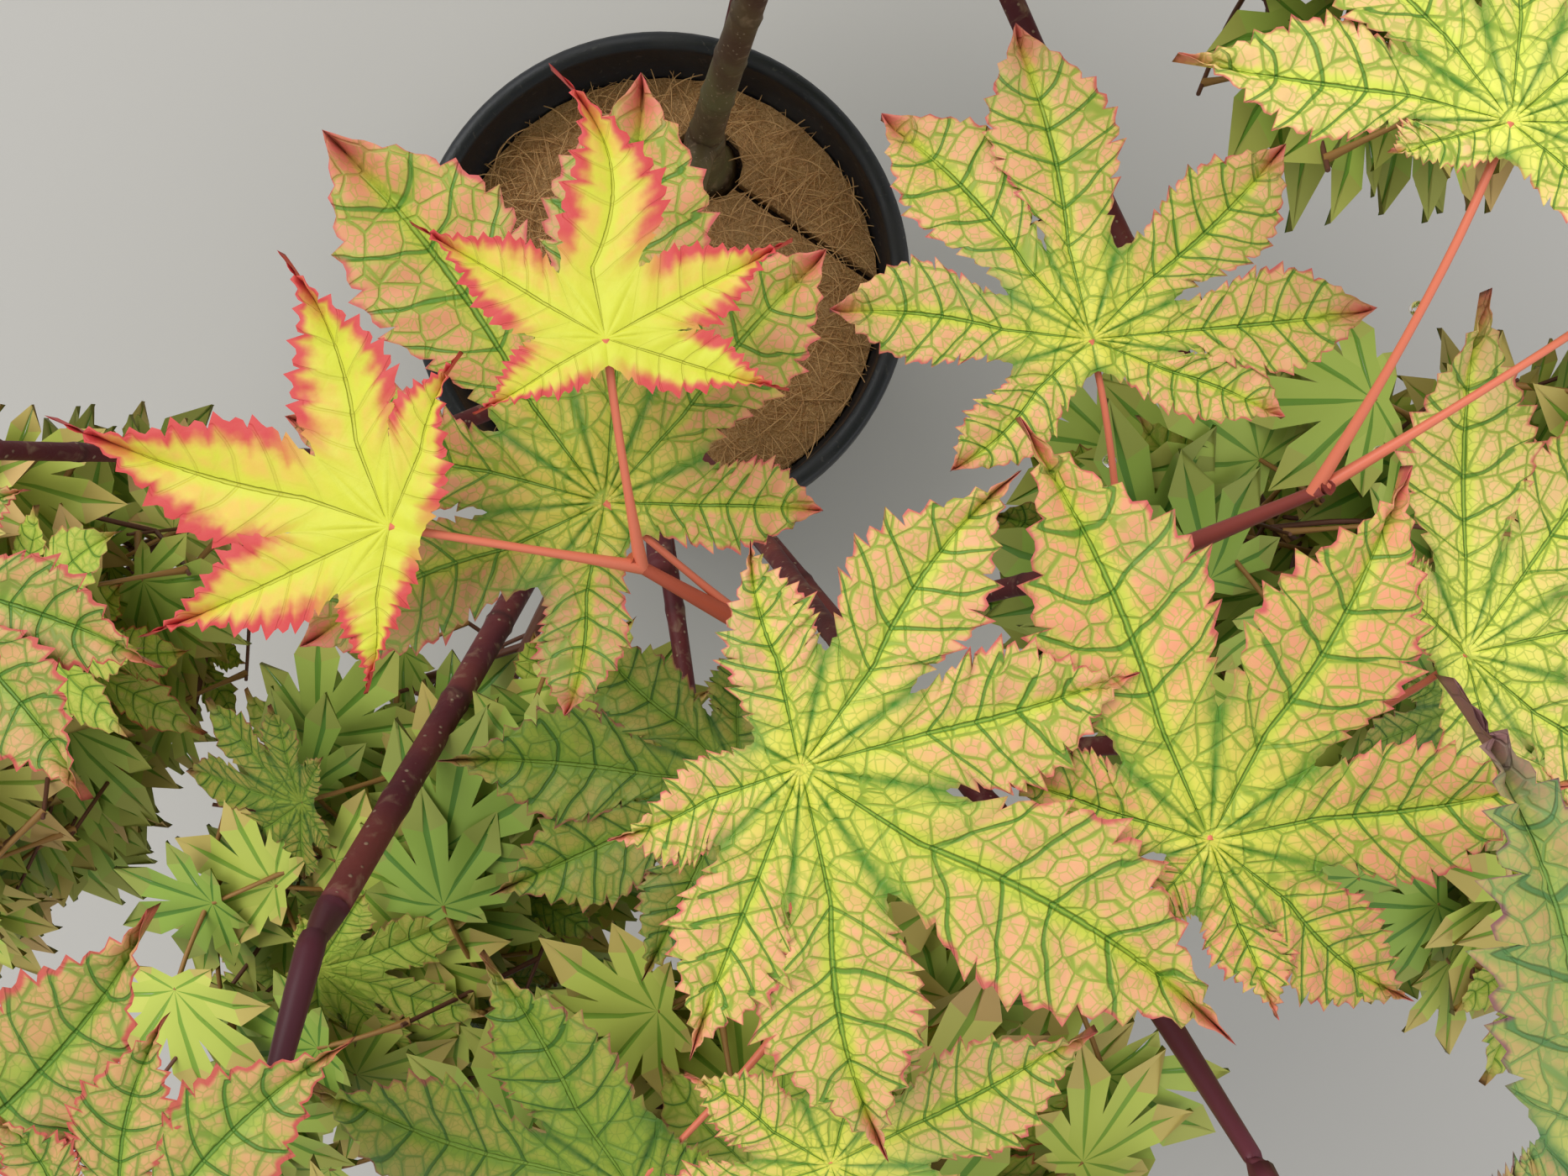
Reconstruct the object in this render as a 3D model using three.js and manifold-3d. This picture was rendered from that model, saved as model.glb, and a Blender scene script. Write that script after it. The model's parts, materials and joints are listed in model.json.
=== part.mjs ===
// A young japanese maple in a round nursery pot. Millimetres, +Z up.
// The origin is the centre of the pot's flat underside.
import * as THREE from "three";
import { mergeVertices } from "three/addons/utils/BufferGeometryUtils.js";
import Module from "manifold-3d";

const wasm = await Module();
wasm.setup();

const CLEAR = 0.3; // air between neighbouring solids
const UP = new THREE.Vector3(0, 0, 1);

// Pot: a thin tapering wall with a turned-down lip and drain holes
const POT = {
  height: 150,
  baseRadius: 70,
  topRadius: 90,
  wall: 2.4,
  floor: 3,
  lipRadius: 95,
  lipWall: 2.2,
  lipDepth: 14,
  sides: 36,
};
const DRAIN = { count: 6, radius: 6, ring: 50, sides: 10 };

// What fills the pot: compost, and a mulch disc of fibre with a slit
const COMPOST_TOP = 126;
const DISC = { radius: 84, thickness: 6, hole: 15, holeSides: 12, slit: 3, slitTurn: -0.6 };
const FOOT = new THREE.Vector3(16, 50, COMPOST_TOP + CLEAR);

// Limbs: each leaves its parent's axis at a share of the parent's length and ends at a point.
// Then come the bend, which shifts the middle of the curve, and the radii at the root and the tip.
const LIMBS = {
  trunk: limb(null, 0, [18, 50, 162], [-1, 0, 0], [8.2, 6.9]),
  stem_north: limb("trunk", 0.97, [47, 60, 286], [-2, 0, 0], [6.0, 4.4]),
  bough_south: limb("trunk", 0.86, [18, -112, 318], [-16, 0, -26], [5.6, 3.0]),
  bough_top: limb("stem_north", 0.97, [34, 58, 386], [6, 6, 0], [3.9, 2.5]),
  bough_north: limb("stem_north", 0.9, [36, 112, 362], [0, 6, -16], [3.9, 2.5]),
  bough_west: limb("stem_north", 0.84, [-100, 34, 344], [0, 10, -8], [3.9, 2.4]),
  bough_east: limb("stem_north", 0.92, [128, 26, 332], [0, 8, -8], [4.0, 2.4]),
  bough_north_west: limb("stem_north", 0.7, [-56, 104, 330], [0, 8, -8], [3.5, 2.3]),
  bough_north_east: limb("bough_east", 0.42, [104, 90, 352], [0, 0, -8], [3.1, 2.2]),
  bough_low_north: limb("stem_north", 0.3, [48, 116, 250], [0, 6, -6], [3.2, 2.2]),
  bough_low_east: limb("bough_east", 0.62, [144, -60, 308], [0, 0, -6], [2.8, 2.0]),
  bough_south_west: limb("bough_south", 0.5, [-24, -166, 408], [-8, 0, -50], [3.7, 2.7]),
  bough_low_west: limb("bough_south", 0.56, [-80, -90, 286], [0, 0, 2], [3.0, 2.0]),
  bough_south_east: limb("bough_south", 0.72, [108, -184, 394], [0, 0, -24], [3.4, 2.4]),
  bough_inner_south: limb("bough_south", 0.64, [-14, -116, 280], [0, 0, 0], [2.6, 1.9]),
  bough_low_south: limb("bough_south", 0.88, [30, -180, 322], [0, 0, -8], [2.6, 2.0]),
  twig_left: limb("bough_south_east", 0.3, [58, -128, 424], [0, 0, 0], [2.3, 1.7]),
  twig_right: limb("bough_south_east", 0.5, [95, -113, 412], [0, 0, -4], [2.2, 1.7]),
  twig_east: limb("bough_south_east", 0.72, [124, -140, 408], [0, 0, -6], [2.1, 1.6]),
  twig_south: limb("bough_low_south", 0.6, [52, -172, 402], [4, 0, -6], [2.1, 1.6]),
  twig_west: limb("bough_low_west", 0.82, [-80, -94, 406], [-4, 0, 0], [2.2, 1.6]),
};
const LIMB_SIDES = 6;
const LIMB_STEPS = 5; // the trunk has twice as many
const LIMB_LENGTHS = 8; // straight lengths that stand for a limb when leaves keep clear of it
const FLARE = { radius: 4.6, height: 7 }; // the trunk's root flare

// Masses that grow by rule: the limb that carries each, the middle of its own space, the nodes of
// its main shoot and the size of its leaves
const MASSES = {
  crown_top: { limb: "bough_top", middle: [26, 50, 446], nodes: 3, leaf: 43, seed: 51 },
  crown_north: { limb: "bough_north", middle: [40, 154, 416], nodes: 4, leaf: 43, seed: 6 },
  crown_north_west: { limb: "bough_north_west", middle: [-82, 132, 382], nodes: 4, leaf: 41, seed: 52 },
  crown_north_east: { limb: "bough_north_east", middle: [142, 122, 396], nodes: 4, leaf: 41, seed: 6 },
  crown_west: { limb: "bough_west", middle: [-148, 24, 388], nodes: 4, leaf: 41, seed: 41 },
  crown_east: { limb: "bough_east", middle: [188, 14, 378], nodes: 4, leaf: 41, seed: 31 },
  crown_low_north: { limb: "bough_low_north", middle: [60, 154, 290], nodes: 3, leaf: 36, seed: 31 },
  crown_low_west: { limb: "bough_low_west", middle: [-128, -112, 312], nodes: 4, leaf: 36, seed: 3 },
  crown_low_east: { limb: "bough_low_east", middle: [188, -104, 330], nodes: 4, leaf: 37, seed: 34 },
  crown_low_south: { limb: "bough_low_south", middle: [50, -226, 336], nodes: 4, leaf: 37, seed: 6 },
  crown_inner_south: { limb: "bough_inner_south", middle: [-26, -170, 300], nodes: 4, leaf: 34, seed: 1 },
};

// Sprays on top of the south side, whose leaves are each measured by themselves: the twig goes
// through its nodes, and a leaf has its node, foot, lean of its normal, and its lobes as
// [direction in degrees, length] from one side of its stalk round to the other
const SPRAYS = {
  spray_left: {
    limb: "twig_left",
    nodes: [[42, -121, 436], [27.5, -112.5, 446]],
    leaves: {
      young_upper: {
        node: 2,
        foot: [27, -88, 462],
        lean: [0.02, 0.1],
        lobes: [[-17, 21.5], [29, 24], [102, 32], [150, 25], [211, 17]],
      },
      young_left: {
        node: 2,
        foot: [2, -109, 460],
        lean: [-0.12, 0],
        lobes: [[66, 21.5], [112, 34], [162, 41], [204, 31], [260, 19.5]],
      },
      broad_left: {
        node: 1,
        foot: [24, -105, 443],
        lean: [-0.04, 0.02],
        lobes: [[-2, 28], [48, 42.5], [85, 55], [127, 59], [165, 42], [205, 44], [259, 28]],
      },
      broad_middle: {
        node: 0,
        foot: [49, -137.5, 453],
        lean: [0.02, -0.03],
        lobes: [[-161, 24], [-111, 37], [-77.5, 52], [-33, 64], [15, 43], [54, 43.7], [102.4, 28]],
      },
    },
  },
  spray_right: {
    limb: "twig_right",
    nodes: [[103, -110, 430], [115.3, -103.3, 446]],
    leaves: {
      broad_right: {
        node: 1,
        foot: [99.8, -147.3, 448],
        lean: [0.02, -0.06],
        lobes: [[-130, 12], [-70, 23], [-38, 35.5], [11, 43], [63, 52], [114, 57.5], [164, 28]],
      },
      broad_upper: {
        node: 0,
        foot: [89, -82, 433],
        lean: [-0.03, 0.06],
        lobes: [[-23, 28], [5, 37.6], [45, 37.4], [102.6, 45.4], [130, 44], [173, 36], [223, 26.4]],
      },
      corner_upper: {
        node: 2,
        foot: [126, -65.3, 466],
        lean: [0.04, 0.08],
        lobes: [[-40, 24], [0, 34], [40, 40], [81, 44], [125, 40], [166, 36.3], [196, 15]],
      },
      corner_side: {
        node: 2,
        foot: [152, -78, 454],
        lean: [0.14, 0.04],
        lobes: [[-112, 17], [-70, 30], [-32, 41], [6, 45], [44, 39], [84, 24]],
      },
    },
  },
  spray_east: {
    limb: "twig_east",
    nodes: [[127, -137, 424]],
    leaves: {
      side_right: {
        node: 1,
        foot: [136.2, -124.6, 440],
        lean: [0.05, 0.02],
        lobes: [[-75, 36], [-40, 42], [12, 41], [52, 46], [89, 46.8], [135, 16]],
      },
    },
  },
  spray_south_east: {
    limb: "bough_south_east",
    nodes: [[113.4, -197, 430], [115, -204, 446]],
    leaves: {
      near_right: {
        node: 2,
        foot: [131.6, -181, 474],
        lean: [0.12, -0.06],
        lobes: [[-62, 22], [-28, 40], [8, 50], [40, 53], [71, 55], [105, 57.5], [158, 15]],
      },
      low_right: {
        node: 2,
        foot: [108, -232, 452],
        lean: [0.06, -0.3],
        lobes: [[-196, 19], [-160, 33], [-124, 44], [-86, 48], [-48, 43], [-12, 31], [26, 18]],
      },
    },
  },
  spray_south: {
    limb: "twig_south",
    nodes: [[50, -178, 420]],
    leaves: {
      low_middle: {
        node: 1,
        foot: [53.3, -193.4, 436],
        lean: [0, -0.1],
        lobes: [[-70, 38], [-25, 44], [27, 40], [75, 31], [149, 23], [200, 30]],
      },
      shaded_left: {
        node: 1,
        foot: [25, -202.7, 424],
        lean: [-0.06, -0.06],
        lobes: [[-30, 24], [8, 16], [125, 40], [168, 52], [214, 44], [256, 36]],
      },
      deep_middle: {
        node: 0,
        foot: [39.6, -148, 400],
        lean: [-0.08, 0.04],
        lobes: [[92, 24], [135, 38], [176, 50], [205, 48], [244, 36], [284, 22]],
      },
    },
  },
  spray_south_west: {
    limb: "bough_south_west",
    nodes: [[-22, -169, 423], [-22.6, -192, 440], [-24, -206, 450]],
    leaves: {
      fresh_left: {
        node: 3,
        foot: [-30.5, -193.2, 461],
        lean: [0, -0.05],
        lobes: [[-60, 20], [-10, 24], [42, 38], [75, 30], [118, 22], [176, 16]],
      },
      edge_left: {
        node: 3,
        foot: [-56, -190, 457],
        lean: [-0.08, -0.03],
        lobes: [[4, 22], [50, 50], [95, 43], [140, 44], [184, 38], [226, 24]],
      },
    },
  },
  spray_west: {
    limb: "twig_west",
    nodes: [[-72, -98, 424]],
    leaves: {
      edge_upper: {
        node: 1,
        foot: [-67, -112.3, 444],
        lean: [-0.1, 0.04],
        lobes: [[-84, 18], [-45, 42], [-22, 37], [26, 20], [104, 28], [150, 42], [196, 40], [236, 26]],
      },
    },
  },
};

// How a shoot grows: internodes with a pair of leaves at each node, each pair turned by a quarter.
// A pair of numbers is a lowest and a highest value, unless it says otherwise.
const SHOOT = {
  internode: 27,
  lengths: [0.8, 1.2], // of an internode
  radius: 2,
  thinning: 0.86, // of the radius at each node
  wander: 0.2,
  lift: 0.06,
  spread: 0.14,
  turn: 0.5, // how far a pair may be turned from its quarter, in radians
};
// The pair of side shoots that the main shoot has at each node but its last
const SIDE_SHOOT = {
  radius: 0.55, // of the main shoot's
  roots: [5, 7], // how far below their node the two are rooted
  nodes: 2,
  forward: 0.6,
  lift: 0.2,
};
const LEAF = {
  tries: 5, // ways in which a leaf is tried before it is left out
  sizes: [0.82, 1.12], // of its mass's leaf
  petiole: 27,
  petioles: [0.7, 1.3], // of that length
  petioleRadii: [0.7, 0.5], // at its node and at the blade
  petioleRoots: [2, 3.2], // how far below their node the two stalks of a pair are rooted
  petioleEnd: 0.045, // how far from the blade's foot a measured leaf's stalk ends, in leaf sizes
  forward: [0.1, 0.8], // how far a stalk leans along its twig
  upward: [-0.1, 0.8], // and up
  rise: 0.6, // the steepest slope up of a grown leaf's stalk
  fall: 0.35, // and down
  level: 0.4, // a stalk whose level part is shorter than this is turned outward
  outward: 0.8,
  lean: [0.2, 0.6], // how far a blade faces outward
  sway: 0.2,
  thickness: 2.2, // at the foot, running out to nothing at the edge
  touch: 5, // how far a lobe's middle line stays from a limb's surface
  aside: 0.62, // leaves whose feet are further apart, in their two sizes, lie beside each other
  over: 0.34, // those at least this far apart may lie over each other
  layer: 8, // with this much between them
  droop: 0.16, // how far the tips hang, in leaf sizes
  lobes: [[-118, 0.38], [-78, 0.68], [-39, 0.92], [0, 1], [39, 0.92], [78, 0.68], [118, 0.38]],
  sinus: 0.4,
  notch: 0.1,
  shoulder: 9, // half the width of a grown leaf's stalk at the notch, in degrees
};
// A measured leaf is flatter, and each of its lobes has a waist: where, as a share of its length,
// and half its width there in degrees
const MEASURED = { droop: 0.05, sinus: 0.32, waistAt: 0.6, waist: 16, reachShare: 0.1 };
const AXIS = new THREE.Vector2(20, -24); // the crown's own middle, seen from above

// Space that growth by rule leaves free: the top of the south side, where the sprays are, and the
// sight lines from a point above it down to the pot, as slopes seen from that eye
const TOP = { low: [-54, -196, 414], high: [154, -38, 600] };
const EYE = [47, -116, 594];
const GAPS = [
  { across: [-0.7, 0.32], along: [0.25, 0.56] },
  { across: [-0.7, -0.43], along: [0.16, 0.56] },
];
const LOWEST = 176; // nothing grows below the pot's brim
const SPACE_MARGIN = 1.2; // from the space of another mass
const TWIG_MARGIN = 0.8;
const SPRAY_START = 3; // how far a spray's twig goes straight on from its limb

// Where a twig, a stalk and a lobe are tested, as shares of their lengths
const TWIG_TESTS = [0.35, 0.6, 0.8, 1];
const STALK_TESTS = [0.4, 0.6, 0.8];
const LOBE_TESTS = [0.25, 0.5, 0.75, 1];

// The Park-Miller generator: numbers from 0 to 1 that are the same in every run
function seeded(seed) {
  const modulus = 2147483647;
  let state = seed * 7919 + 101;
  return () => {
    state = (state * 16807) % modulus;
    return state / modulus;
  };
}

function within([low, high], share) {
  return low + (high - low) * share;
}

function limb(parent, at, to, bend, radii) {
  return { parent, at, to, bend, radii };
}

function vector(list) {
  return new THREE.Vector3(...list);
}

// A geometry as a solid: only positions, with shared vertices merged
function solidOf(geometry) {
  geometry.deleteAttribute("normal");
  geometry.deleteAttribute("uv");
  const merged = mergeVertices(geometry);
  return new wasm.Manifold(
    new wasm.Mesh({
      numProp: 3,
      vertProperties: merged.attributes.position.array,
      triVerts: merged.index.array,
    }),
  );
}

// A solid as a named mesh that is placed at its own foot
function meshOf(name, solid, material, foot = new THREE.Vector3()) {
  const made = solid.getMesh();
  const geometry = new THREE.BufferGeometry();
  geometry.setAttribute("position", new THREE.BufferAttribute(made.vertProperties, 3));
  geometry.setIndex(new THREE.BufferAttribute(made.triVerts, 1));
  geometry.translate(-foot.x, -foot.y, -foot.z);
  const mesh = new THREE.Mesh(geometry, material);
  mesh.name = name;
  mesh.position.copy(foot);
  return mesh;
}

// A closed tapering tube: a cylinder whose rings are laid along the curve, grown all round by extra
function tube(curve, radiusAt, sides, steps, extra = 0) {
  const geometry = new THREE.CylinderGeometry(1, 1, 1, sides, steps);
  const at = geometry.attributes.position;
  const across = curve.getPoint(1).sub(curve.getPoint(0)).cross(UP);
  if (across.length() < 1) across.set(1, 0, 0);
  for (let i = 0; i < at.count; i++) {
    const share = Math.min(1, Math.max(0, at.getY(i) + 0.5));
    const tangent = curve.getTangent(share);
    const side = across.clone().addScaledVector(tangent, -across.dot(tangent)).normalize();
    const third = side.clone().cross(tangent);
    const reach = radiusAt(share) + extra;
    const place = curve.getPoint(share);
    place.addScaledVector(side, at.getX(i) * reach);
    place.addScaledVector(third, at.getZ(i) * reach);
    if (share === 0) place.addScaledVector(tangent, -extra);
    if (share === 1) place.addScaledVector(tangent, extra);
    at.setXYZ(i, place.x, place.y, place.z);
  }
  return solidOf(geometry);
}

// A three-sided twig or stalk, straight from point to point, evenly thinning to its tip's radius
function rod({ points, radii }) {
  const curve = new THREE.CatmullRomCurve3(points, false, "catmullrom", 0);
  return tube(curve, (share) => within(radii, share), 3, points.length - 1);
}

// The pot's wall radius outside at a height
function potRadius(height) {
  return POT.baseRadius + ((POT.topRadius - POT.baseRadius) * height) / POT.height;
}

function pot() {
  const lipFoot = POT.height - POT.lipDepth;
  const lipInside = POT.lipRadius - POT.lipWall;
  const underLip = POT.height - POT.lipWall;
  const profile = [
    [0, 0],
    [POT.baseRadius, 0],
    [potRadius(underLip), underLip],
    [lipInside, underLip],
    [lipInside, lipFoot],
    [POT.lipRadius, lipFoot],
    [POT.lipRadius, POT.height],
    [potRadius(POT.height) - POT.wall, POT.height],
    [potRadius(POT.floor) - POT.wall, POT.floor],
    [0, POT.floor],
  ];
  let wall = turned(profile);
  for (let i = 0; i < DRAIN.count; i++) {
    const turn = (2 * Math.PI * (i + 0.5)) / DRAIN.count;
    const drill = new THREE.CylinderGeometry(DRAIN.radius, DRAIN.radius, 4 * POT.floor, DRAIN.sides);
    drill.rotateX(Math.PI / 2);
    drill.translate(DRAIN.ring * Math.cos(turn), DRAIN.ring * Math.sin(turn), 0);
    wall = wall.subtract(solidOf(drill));
  }
  return wall;
}

// A profile of radius and height, turned round the Z axis
function turned(profile) {
  const points = profile.map(([radius, height]) => new THREE.Vector2(radius, height));
  const geometry = new THREE.LatheGeometry(points, POT.sides);
  geometry.rotateX(Math.PI / 2);
  return solidOf(geometry);
}

function compost() {
  const foot = POT.floor + CLEAR;
  return turned([
    [0, foot],
    [potRadius(foot) - POT.wall - CLEAR, foot],
    [potRadius(COMPOST_TOP) - POT.wall - CLEAR, COMPOST_TOP],
    [0, COMPOST_TOP],
  ]);
}

function fibreDisc() {
  const outline = new THREE.Shape();
  outline.absarc(0, 0, DISC.radius, 0, 2 * Math.PI);
  const geometry = new THREE.ExtrudeGeometry(outline, {
    depth: DISC.thickness,
    bevelEnabled: false,
    curveSegments: POT.sides / 2,
  });
  geometry.translate(0, 0, COMPOST_TOP + CLEAR);
  const hole = new THREE.CylinderGeometry(DISC.hole, DISC.hole, 4 * DISC.thickness, DISC.holeSides);
  hole.rotateX(Math.PI / 2);
  hole.translate(FOOT.x, FOOT.y, COMPOST_TOP);
  const slit = new THREE.BoxGeometry(2 * DISC.radius, DISC.slit, 4 * DISC.thickness);
  slit.translate(DISC.radius, 0, 0);
  slit.rotateZ(DISC.slitTurn);
  slit.translate(FOOT.x, FOOT.y, COMPOST_TOP);
  return solidOf(geometry).subtract(solidOf(hole)).subtract(solidOf(slit));
}

// The curve and radius of every limb, each parent before its children
function limbCurves() {
  const found = {};
  for (const [name, { parent, at, to, bend, radii }] of Object.entries(LIMBS)) {
    const from = parent ? found[parent].curve.getPoint(at) : FOOT;
    const tip = vector(to);
    const middle = from.clone().lerp(tip, 0.5).add(vector(bend));
    const curve = new THREE.QuadraticBezierCurve3(from, middle, tip);
    const height = tip.z - from.z;
    const flare = (share) => FLARE.radius * Math.exp((-share * height) / FLARE.height);
    const radiusAt = (share) => within(radii, share) + (parent ? 0 : flare(share));
    found[name] = { curve, radiusAt, steps: parent ? LIMB_STEPS : 2 * LIMB_STEPS };
  }
  return found;
}

function limbSolid({ curve, radiusAt, steps }, extra = 0) {
  return tube(curve, radiusAt, LIMB_SIDES, steps, extra);
}

// Each limb is cut clear of the ones made before it, so it starts on its parent's surface.
// Slivers of its root that stand out behind the parent are dropped.
function limbSolids(limbs) {
  const made = {};
  for (const name of Object.keys(limbs)) {
    const before = Object.keys(made).map((other) => limbSolid(limbs[other], CLEAR));
    const solid = before.reduce((left, other) => left.subtract(other), limbSolid(limbs[name]));
    made[name] = largest(solid);
  }
  return made;
}

function largest(solid) {
  return solid.decompose().reduce((most, piece) => (piece.volume() > most.volume() ? piece : most));
}

// What leaves keep clear of: short straight lengths of limb or twig, each with a radius
function lengthsOf({ curve, radiusAt }) {
  const points = curve.getPoints(LIMB_LENGTHS);
  return points.slice(1).map((b, i) => ({ a: points[i], b, radius: radiusAt(i / LIMB_LENGTHS) }));
}

function distance(point, { a, b }) {
  const along = b.clone().sub(a);
  const share = point.clone().sub(a).dot(along) / along.lengthSq();
  return a.clone().addScaledVector(along, Math.min(1, Math.max(0, share))).distanceTo(point);
}

function clearOf(lengths, point, margin) {
  return lengths.every((length) => distance(point, length) > length.radius + margin);
}

// A blade's place: its foot, the way its middle lobe points, and its normal
function blade(foot, toward, normal, size, lobes, more = {}) {
  const heading = toward.clone().addScaledVector(normal, -toward.dot(normal)).normalize();
  const left = normal.clone().cross(heading);
  const { droop, sinus } = LEAF;
  return { foot, heading, left, normal, size, lobes, droop, sinus, ...more };
}

// A point of a blade, by its direction in degrees and its distance from the foot. The edge droops.
function bladePoint(leaf, degrees, reach) {
  const turn = THREE.MathUtils.degToRad(degrees);
  const sag = leaf.droop * leaf.size * (reach / leaf.size) ** 2;
  return leaf.foot
    .clone()
    .addScaledVector(leaf.heading, reach * Math.cos(turn))
    .addScaledVector(leaf.left, reach * Math.sin(turn))
    .addScaledVector(leaf.normal, -sag);
}

// The rim of a blade, anticlockwise from the notch at its stalk. Lobes come in order of direction,
// and the notch lies between the last and the first. A blade with a root runs out there to its stalk.
function rim(leaf) {
  const first = leaf.lobes[0][0];
  const last = leaf.lobes[leaf.lobes.length - 1][0];
  const behind = (last + first) / 2 - 180;
  const notch = LEAF.notch * leaf.size;
  const points = leaf.root
    ? [leaf.root, bladePoint(leaf, behind + LEAF.shoulder, notch)]
    : [bladePoint(leaf, behind, notch)];
  leaf.lobes.forEach(([degrees, reach], i) => {
    const waist = MEASURED.waistAt * reach * leaf.size;
    if (leaf.measured) points.push(bladePoint(leaf, degrees - MEASURED.waist, waist));
    points.push(bladePoint(leaf, degrees, reach * leaf.size));
    if (leaf.measured) points.push(bladePoint(leaf, degrees + MEASURED.waist, waist));
    if (i === leaf.lobes.length - 1) return;
    const [nextDegrees, nextReach] = leaf.lobes[i + 1];
    const depth = leaf.sinus * leaf.size * Math.sqrt((reach + nextReach) / 2);
    points.push(bladePoint(leaf, (degrees + nextDegrees) / 2, depth));
  });
  if (leaf.root) points.push(bladePoint(leaf, behind - LEAF.shoulder, notch));
  return points;
}

// A leaf is a sphere of two rows of faces whose equator becomes the rim
function leafSolid(leaf) {
  const points = rim(leaf);
  const geometry = new THREE.SphereGeometry(1, points.length, 2);
  const at = geometry.attributes.position;
  const columns = points.length + 1;
  for (let i = 0; i < at.count; i++) {
    const row = Math.floor(i / columns);
    const place =
      row === 1
        ? points[(i % columns) % points.length]
        : leaf.foot.clone().addScaledVector(leaf.normal, ((1 - row) * LEAF.thickness) / 2);
    at.setXYZ(i, place.x, place.y, place.z);
  }
  return solidOf(geometry);
}

// Points that stand for a blade when it is tested against its space and the limbs
function samples(leaf) {
  const found = [leaf.foot];
  for (const [degrees, reach] of leaf.lobes)
    for (const share of LOBE_TESTS)
      found.push(bladePoint(leaf, degrees, share * reach * leaf.size));
  return found;
}

// A blade from its entry in the list of measured leaves
function measuredBlade({ foot, lean, lobes }) {
  const size = Math.max(...lobes.map(([, reach]) => reach));
  const normal = new THREE.Vector3(lean[0], lean[1], 1).normalize();
  const shares = lobes.map(([degrees, reach]) => [degrees, reach / size]);
  const level = new THREE.Vector3(1, 0, 0);
  const { droop, sinus } = MEASURED;
  return blade(vector(foot), level, normal, size, shares, { droop, sinus, measured: true });
}

// The foot of a mass or spray: just past the end of the limb that carries it
function endOf(limb) {
  return limb.curve.getPoint(1).addScaledVector(limb.curve.getTangent(1), CLEAR);
}

// A stalk from a node to a blade, rooted in the twig below the node and sunk into the blade's notch
function stalk(node, below, leaf) {
  const toNode = node.clone().sub(leaf.foot);
  toNode.addScaledVector(leaf.normal, -toNode.dot(leaf.normal));
  const end = leaf.foot.clone().add(toNode.setLength(LEAF.petioleEnd * leaf.size));
  return { points: [rootOf(node, below, LEAF.petioleRoots[0]), end], radii: LEAF.petioleRadii };
}

// A point on a twig's axis a little below its node
function rootOf(node, below, depth) {
  return node.clone().add(below.clone().sub(node).setLength(depth));
}

// Twigs, stalks and blades of a spray. Its twig sets out straight on from its limb.
function sprayParts(spray, limbs) {
  const limb = limbs[spray.limb];
  const nodes = [endOf(limb), ...spray.nodes.map(vector)];
  const root = limb.radiusAt(1);
  const straightOn = nodes[0].clone().addScaledVector(limb.curve.getTangent(1), SPRAY_START);
  const points = [nodes[0], straightOn, ...nodes.slice(1)];
  const rods = [{ points, radii: [root, root * SHOOT.thinning ** spray.nodes.length] }];
  const leaves = Object.values(spray.leaves).map(measuredBlade);
  Object.values(spray.leaves).forEach(({ node }, i) => {
    const at = node === 0 ? nodes[0].clone().lerp(nodes[1], 0.4) : nodes[node];
    rods.push(stalk(at, nodes[Math.max(0, node - 1)], leaves[i]));
  });
  return { rods, leaves };
}

// Whether a point is nearer to its own mass's middle than to any other, with a margin
function inSpace(point, own) {
  return Object.values(MASSES).every((mass) => {
    if (mass === own) return true;
    const middle = vector(own.middle);
    const other = vector(mass.middle);
    const past = (point.distanceToSquared(other) - point.distanceToSquared(middle)) / 2;
    return past / middle.distanceTo(other) > SPACE_MARGIN;
  });
}

// Whether a point lies in the space that growth by rule leaves free
function inFreeSpace(point) {
  const { low, high } = TOP;
  const inTop = ["x", "y", "z"].every((k, i) => point[k] > low[i] && point[k] < high[i]);
  const [x, y, z] = EYE;
  const depth = z - point.z;
  const inGap = GAPS.some(
    ({ across, along }) =>
      isWithin((point.x - x) / depth, across) && isWithin((point.y - y) / depth, along),
  );
  return inTop || inGap || point.z < LOWEST;
}

function isWithin(value, [low, high]) {
  return value > low && value < high;
}

// Away from the crown's middle, on the level
function outward(point) {
  return new THREE.Vector3(point.x - AXIS.x, point.y - AXIS.y, 0).normalize();
}

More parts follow.
